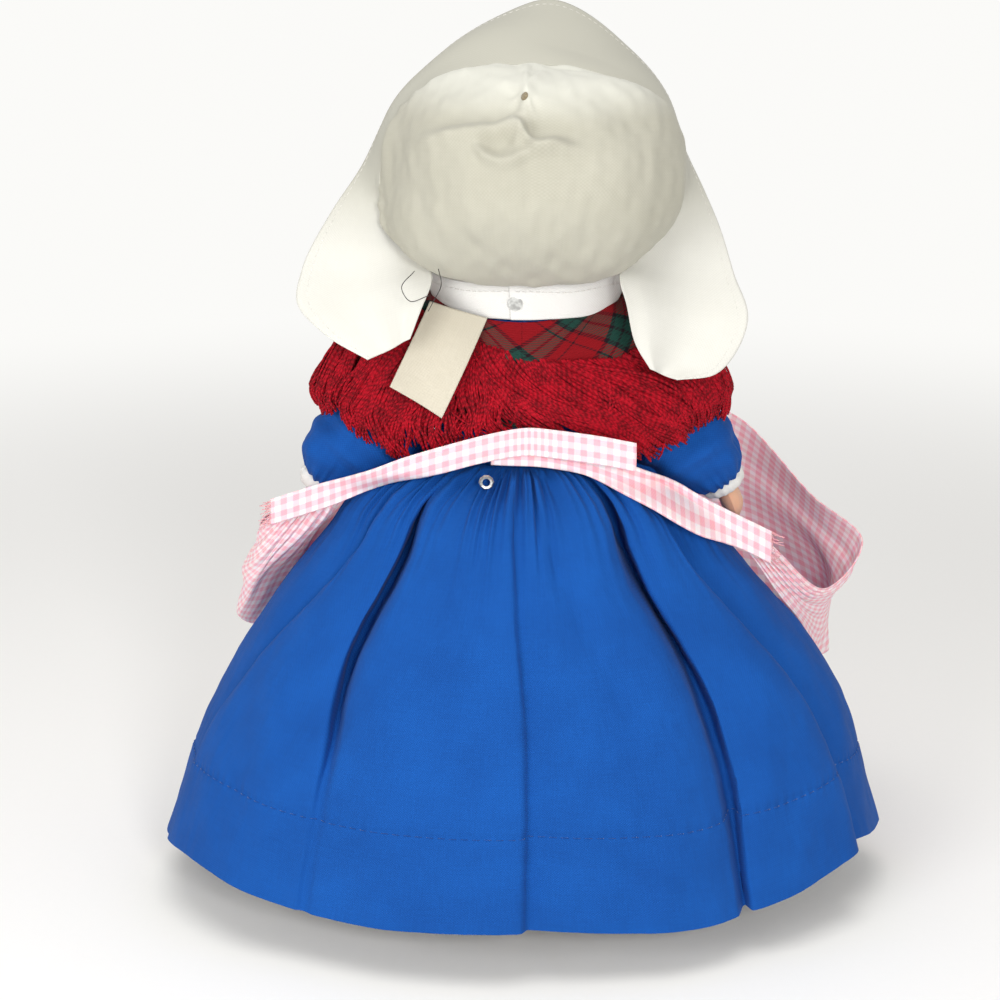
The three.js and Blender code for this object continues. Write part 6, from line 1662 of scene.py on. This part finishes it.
@dataclass
class Limbs:
    """Arms with moulded hands, legs, socks and strapped shoes."""

    finishes: Finishes
    gown: Dress
    hip_z: float = 83.0
    leg_x: float = 12.4
    leg: float = 7.0
    arm: float = 5.6
    foot: float = 27.0
    sole: float = 2.0

    def build(self) -> None:
        """Makes and dresses both sides."""
        for side in Side:
            self.hand(side)
            self.lower(side)
            self.shoe(side)
        self.panties()

    def hand(self, side: Side) -> None:
        """One arm, with the hand's fingers marked by grooves and a thumb."""
        share, round_it = across(150, 73)
        turn = round_it * TAU * side.value
        thick = follow((0, 0.3, 0.48, 0.71, 0.84, 0.95, 1), (1, 1, 0.88, 0.66, 0.8, 0.62, 0.05), share) * self.arm
        thin = follow((0, 0.71, 0.84, 1), (1, 1, 0.62, 0.55), share)
        fingers = -0.32 * np.cos(np.cos(turn) * 9.4) * ease(share, 0.87, 0.92)
        deep = self.gown.ring(side, share, turn, thick + fingers)
        middle = self.gown.arm_line(side, share)
        offset = deep - middle
        across_hand = offset * (1 - (1 - thin[..., None]) * np.abs(np.sin(turn))[..., None])
        arm = Form.grid(f"arm_{side.label}", middle + across_hand, stack(turn * 5, share * 60))
        dress(arm, self.finishes.skin, f"{side.label}_arm", "doll_plastic", f"{side.label}_arm")
        palm = self.gown.arm_line(side, np.array(0.79))
        run = np.linspace(0, 1, 12)[None, :, None]
        path = palm + run * np.array([-side.value * 0.27, -1.0, -0.8]) * self.arm
        size = self.arm * 0.27 * np.sqrt(np.clip(1 - (run[..., 0] - 0.1) ** 4, 0.05, 1))
        thumb = Form.strands(f"thumb_{side.label}", path, size, 20)
        dress(thumb, self.finishes.skin, f"{side.label}_arm", "doll_plastic")

    def leg_ring(self, side: Side, z: Array, turn: Array, grow: Array | float) -> Array:
        """Points round a leg at a height."""
        h = self.hip_z
        heights = (0, 0.155 * h, 0.38 * h, 0.54 * h, 0.8 * h, h)
        wide, deep = (follow(heights, sizes, z) * self.leg + grow for sizes in (
            (0.6, 0.6, 0.86, 0.82, 1, 1), (0.7, 0.68, 1.02, 0.95, 1.3, 1.42)))
        return stack(side.value * self.leg_x + wide * np.sin(turn), deep * np.cos(turn), z)

    def lower(self, side: Side) -> None:
        """One leg and its ribbed sock."""
        share, round_it = across(80, 73)
        turn = round_it * TAU
        z = 4 + share * (self.hip_z - 4)
        closed = -self.leg * 1.2 * (1 - np.sqrt(np.clip(1 - ease(share, 0.9, 1.0) ** 2, 0, 1)))
        leg = Form.grid(f"leg_{side.label}", self.leg_ring(side, z, turn, closed), stack(turn * 7, z))
        dress(leg, self.finishes.skin, f"{side.label}_leg", "doll_plastic", f"{side.label}_leg")
        share, round_it = across(60, 241)
        turn = round_it * TAU
        z = 13.2 + share * 20
        ribs = 0.10 * np.sin(turn * 44) * ease(share, 0.72, 0.8) + 0.25 * ease(share, 0.72, 0.76)
        slump = 0.22 * np.sin(share * 34 + np.sin(turn * 2)) * ease(0.5 - share, 0, 0.4)
        points = self.leg_ring(side, z, turn, 0.75 + ribs + slump)
        sock = Form.grid(f"sock_{side.label}", points, stack(turn * 7, z))
        Form.thicken(sock, 0.4)
        dress(sock, self.finishes.white, f"{side.label}_leg", "white_cotton", f"{side.label}_sock")
        f"leg_{side.label}"

    def shoe_ring(self, side: Side, share: Array, turn: Array, grow: float) -> Array:
        """Points round a foot by its share of length from heel to toe."""
        wide = follow((0, 0.08, 0.3, 0.68, 0.88, 1), (0.35, 0.56, 0.64, 0.84, 0.7, 0.3), share) * self.leg + grow
        high = follow((0, 0.1, 0.35, 0.6, 0.85, 1), (0.42, 0.72, 1, 0.8, 0.58, 0.36), share)
        base = self.sole + 1.8
        top = base + (self.hip_z * 0.155 - base) * high + grow
        low = base - grow
        lift = np.sign(np.cos(turn)) * np.abs(np.cos(turn)) ** 0.7
        out = np.sign(np.sin(turn)) * np.abs(np.sin(turn)) ** 0.7
        y = self.foot * 0.32 - self.foot * share + grow * (1 - 2 * share)
        z = np.maximum(low + (top - low) * (0.5 + 0.5 * lift), self.sole + 0.5)
        return stack(side.value * self.leg_x + wide * out, y, z)

    def shoe(self, side: Side) -> None:
        """One strapped shoe on a flat sole."""
        share, round_it = across(140, 161)
        turn = round_it * TAU
        points = self.shoe_ring(side, share, turn, 1.45)
        mid_y, rx, ry = self.foot * (0.32 - 0.34), self.leg * 0.6 + 0.9, self.foot * 0.27
        dx, dy = points[..., 0] - side.value * self.leg_x, points[..., 1] - mid_y
        r = np.hypot(dx / rx, dy / ry)
        upper = np.cos(turn) > 0
        snap, pull, hole = rim_snap(r, upper, 0.06)
        points[..., 0] = np.where(snap, side.value * self.leg_x + dx * pull, points[..., 0])
        points[..., 1] = np.where(snap, mid_y + dy * pull, points[..., 1])
        points[0], points[-1] = points[0].mean(0), points[-1].mean(0)
        shoe = Form.grid(f"shoe_{side.label}", points, stack(turn * 5, share * 30), skip=hole)
        Form.thicken(shoe, 0.5, -1.0)
        dress(shoe, self.finishes.vinyl, f"{side.label}_leg", "black_vinyl", f"{side.label}_shoe")
        u, v = across(60, 9)
        angle = (u - 0.5) * math.pi * 0.94
        y = mid_y - 1.5 + (v - 0.5) * 2.4
        strap = stack(side.value * self.leg_x + 6.4 * np.sin(angle), y, 6.4 + 6.9 * np.cos(angle))
        band = Form.grid(f"strap_{side.label}", strap, stack(v * 2.4, u * 20))
        Form.thicken(band, 0.5)
        dress(band, self.finishes.vinyl, f"{side.label}_leg", "black_vinyl")
        middle, way = (side.value * (self.leg_x + 6.2), mid_y - 1.5, 8.3), (side.value, 0, 0.35)
        button = Form.dome(f"button_{side.label}", middle, way, 1.0)
        dress(button, self.finishes.steel, f"{side.label}_leg", "steel")

    def panties(self) -> None:
        """Plain white panties with a gusset."""
        fall, round_it = across(30, 181)
        turn = round_it * TAU
        share = ease(fall, 0, 0.5)
        square = 1 - 0.26 * share
        pleat = 0.2 * np.sin(turn * 60) * np.exp(-fall / 0.1)
        wide, deep = 18.2 + 3.3 * share + pleat, 13.7 + 2.1 * share + pleat
        x = wide * np.sign(np.sin(turn)) * np.abs(np.sin(turn)) ** square
        y = deep * np.sign(np.cos(turn)) * np.abs(np.cos(turn)) ** square
        points = stack(x, y, 98 - 24 * fall)
        body = Form.grid("panties_cloth", points, stack(round_it * 110, fall * 24))
        Form.thicken(body, 0.4)
        dress(body, self.finishes.white, "torso", "white_cotton", "panties")
        u, v = across(40, 12)
        swing = (u - 0.5) * math.pi
        strip = stack((v - 0.5) * 7.2, 15.6 * np.sin(swing), 74.6 - 4.7 * np.cos(swing))
        gusset = Form.grid("panties_gusset", strip, stack(v * 7, u * 34))
        Form.thicken(gusset, 0.4)
        dress(gusset, self.finishes.white, "torso", "white_cotton")


class Stage:
    """Floor, lights and the camera."""

    FLOOR: Colour = (0.93, 0.925, 0.91)
    FAR: Colour = (0.965, 0.96, 0.94)
    # Width of the floor, and the distances over which it turns into the far white
    FLOOR_SIZE, FADE = 16000, (280, 660)
    # Name, place, width and power of each lamp, the height that they aim at, and the sky's strength
    LAMPS = (("key", (-180, 850, 390), 190, 3.5), ("top", (40, 160, 1000), 700, 3.0),
             ("side", (440, 640, 330), 420, 2.5))
    LAMP_AIM, SKY = 90, 0.54
    # The camera's lens and shift, its height of aim, distance, and degrees above the level
    LENS, SHIFT, AIM, DISTANCE, TILT = 92.9, (-0.022, -0.048), 105, 600, 15

    def build(self) -> None:
        """Makes the stage."""
        self.floor()
        self.lamps()
        self.camera()

    def floor(self) -> None:
        """A wide pale cloth that lies flat under the doll and turns white far from it."""
        u, v = across(3, 3)
        points = stack((v - 0.5) * self.FLOOR_SIZE, (u - 0.5) * self.FLOOR_SIZE, v * 0)
        floor = Form.grid("floor", points, stack(u * 1000, v * 1000))
        paint = Paint("floor_cloth")
        x, y, z = paint.place()
        grain = paint.noise(paint.vector(x, y, z), 0.5, 4.0)
        near = paint.node("ShaderNodeBsdfPrincipled", None, {
            "Base Color": paint.mix(grain, tuple(c * 0.985 for c in self.FLOOR), self.FLOOR),
            "Roughness": 0.9, "Specular IOR Level": 0.1})
        far = paint.node("ShaderNodeEmission", None, {"Color": self.FAR})
        seen = paint.node("ShaderNodeLightPath", out="Is Camera Ray")
        fade = ((x * x + y * y) ** 0.5).step(*self.FADE) * seen
        paint.node_output(paint.node("ShaderNodeMixShader", None, {0: fade, 1: near, 2: far}))
        floor.data.materials.append(paint.material)

    def lamps(self) -> None:
        """A lamp by the camera on its right, broad ones overhead and on the left, and an even sky."""
        for name, place, size, power in self.LAMPS:
            data = bpy.data.lights.new(name, "AREA")
            data.shape, data.size, data.energy = "DISK", size * MM, power
            lamp = bpy.data.objects.new(name, data)
            lamp.location = Vector(place) * MM
            lamp.rotation_euler = (Vector((0, 0, self.LAMP_AIM)) - Vector(place)).to_track_quat("-Z", "Y").to_euler()
            bpy.context.scene.collection.objects.link(lamp)
        world = bpy.data.worlds.new("sky")
        world.use_nodes = True
        tree = world.node_tree
        lit = tree.nodes["Background"]
        lit.inputs["Color"].default_value = (1.0, 0.99, 0.97, 1)
        lit.inputs["Strength"].default_value = self.SKY
        seen, path, both = (tree.nodes.new(kind) for kind in
                            ("ShaderNodeBackground", "ShaderNodeLightPath", "ShaderNodeMixShader"))
        tree.links.new(path.outputs["Is Camera Ray"], both.inputs[0])
        tree.links.new(lit.outputs[0], both.inputs[1])
        tree.links.new(seen.outputs[0], both.inputs[2])
        tree.links.new(both.outputs[0], tree.nodes["World Output"].inputs["Surface"])
        seen.inputs["Color"].default_value = (*self.FAR, 1)
        bpy.context.scene.world = world

    def camera(self) -> None:
        """A camera behind the doll and a little above it."""
        data = bpy.data.cameras.new("camera")
        data.sensor_width, data.lens = 36.0, self.LENS
        data.shift_x, data.shift_y = self.SHIFT
        data.clip_start, data.clip_end = 0.01, 20
        eye = bpy.data.objects.new("camera", data)
        tilt = math.radians(self.TILT)
        aim = Vector((0, 0, self.AIM)) * MM
        eye.location = aim + Vector((0, math.cos(tilt), math.sin(tilt))) * self.DISTANCE * MM
        eye.rotation_euler = (aim - eye.location).to_track_quat("-Z", "Y").to_euler()
        bpy.context.scene.collection.objects.link(eye)
        bpy.context.scene.camera = eye
        bpy.context.scene.view_settings.view_transform = "Standard"


def carry_over(nodes: dict[str, bpy.types.Object], finishes: Finishes) -> None:
    """Gives the CAD nodes that stay their own materials."""
    for name, node in nodes.items():
        finish = finishes.skin
        if "shoe" in name:
            finish = finishes.vinyl
        elif name in ("collar_snap", "apron_snap", "waist_hook", "neck_post", "eye_rocker"):
            finish = finishes.steel
        elif name == "eye_weight":
            finish = finishes.lead
        elif "elastic" in name:
            finish = finishes.rubber
        elif name in ("neck_plug", "left_eyeball", "right_eyeball"):
            finish = finishes.white_plastic
        node.data.materials.clear()
        node.data.materials.append(finish)


def main() -> None:
    """Builds the doll's looks round the frame, in order."""
    logging.basicConfig(level=logging.INFO, format="%(message)s")
    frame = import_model()
    Stage().build()
    finishes = Finishes()
    carry_over(frame["nodes"], finishes)
    skirt = Skirt(finishes)
    skirt.build()
    Apron(finishes, skirt).build()
    gown = Dress(finishes)
    gown.build()
    Shawl(finishes, gown).build()
    Label(finishes).build()
    Bonnet(finishes).build()
    Head(finishes).build()
    Limbs(finishes, gown).build()


if __name__ == "__main__":
    main()
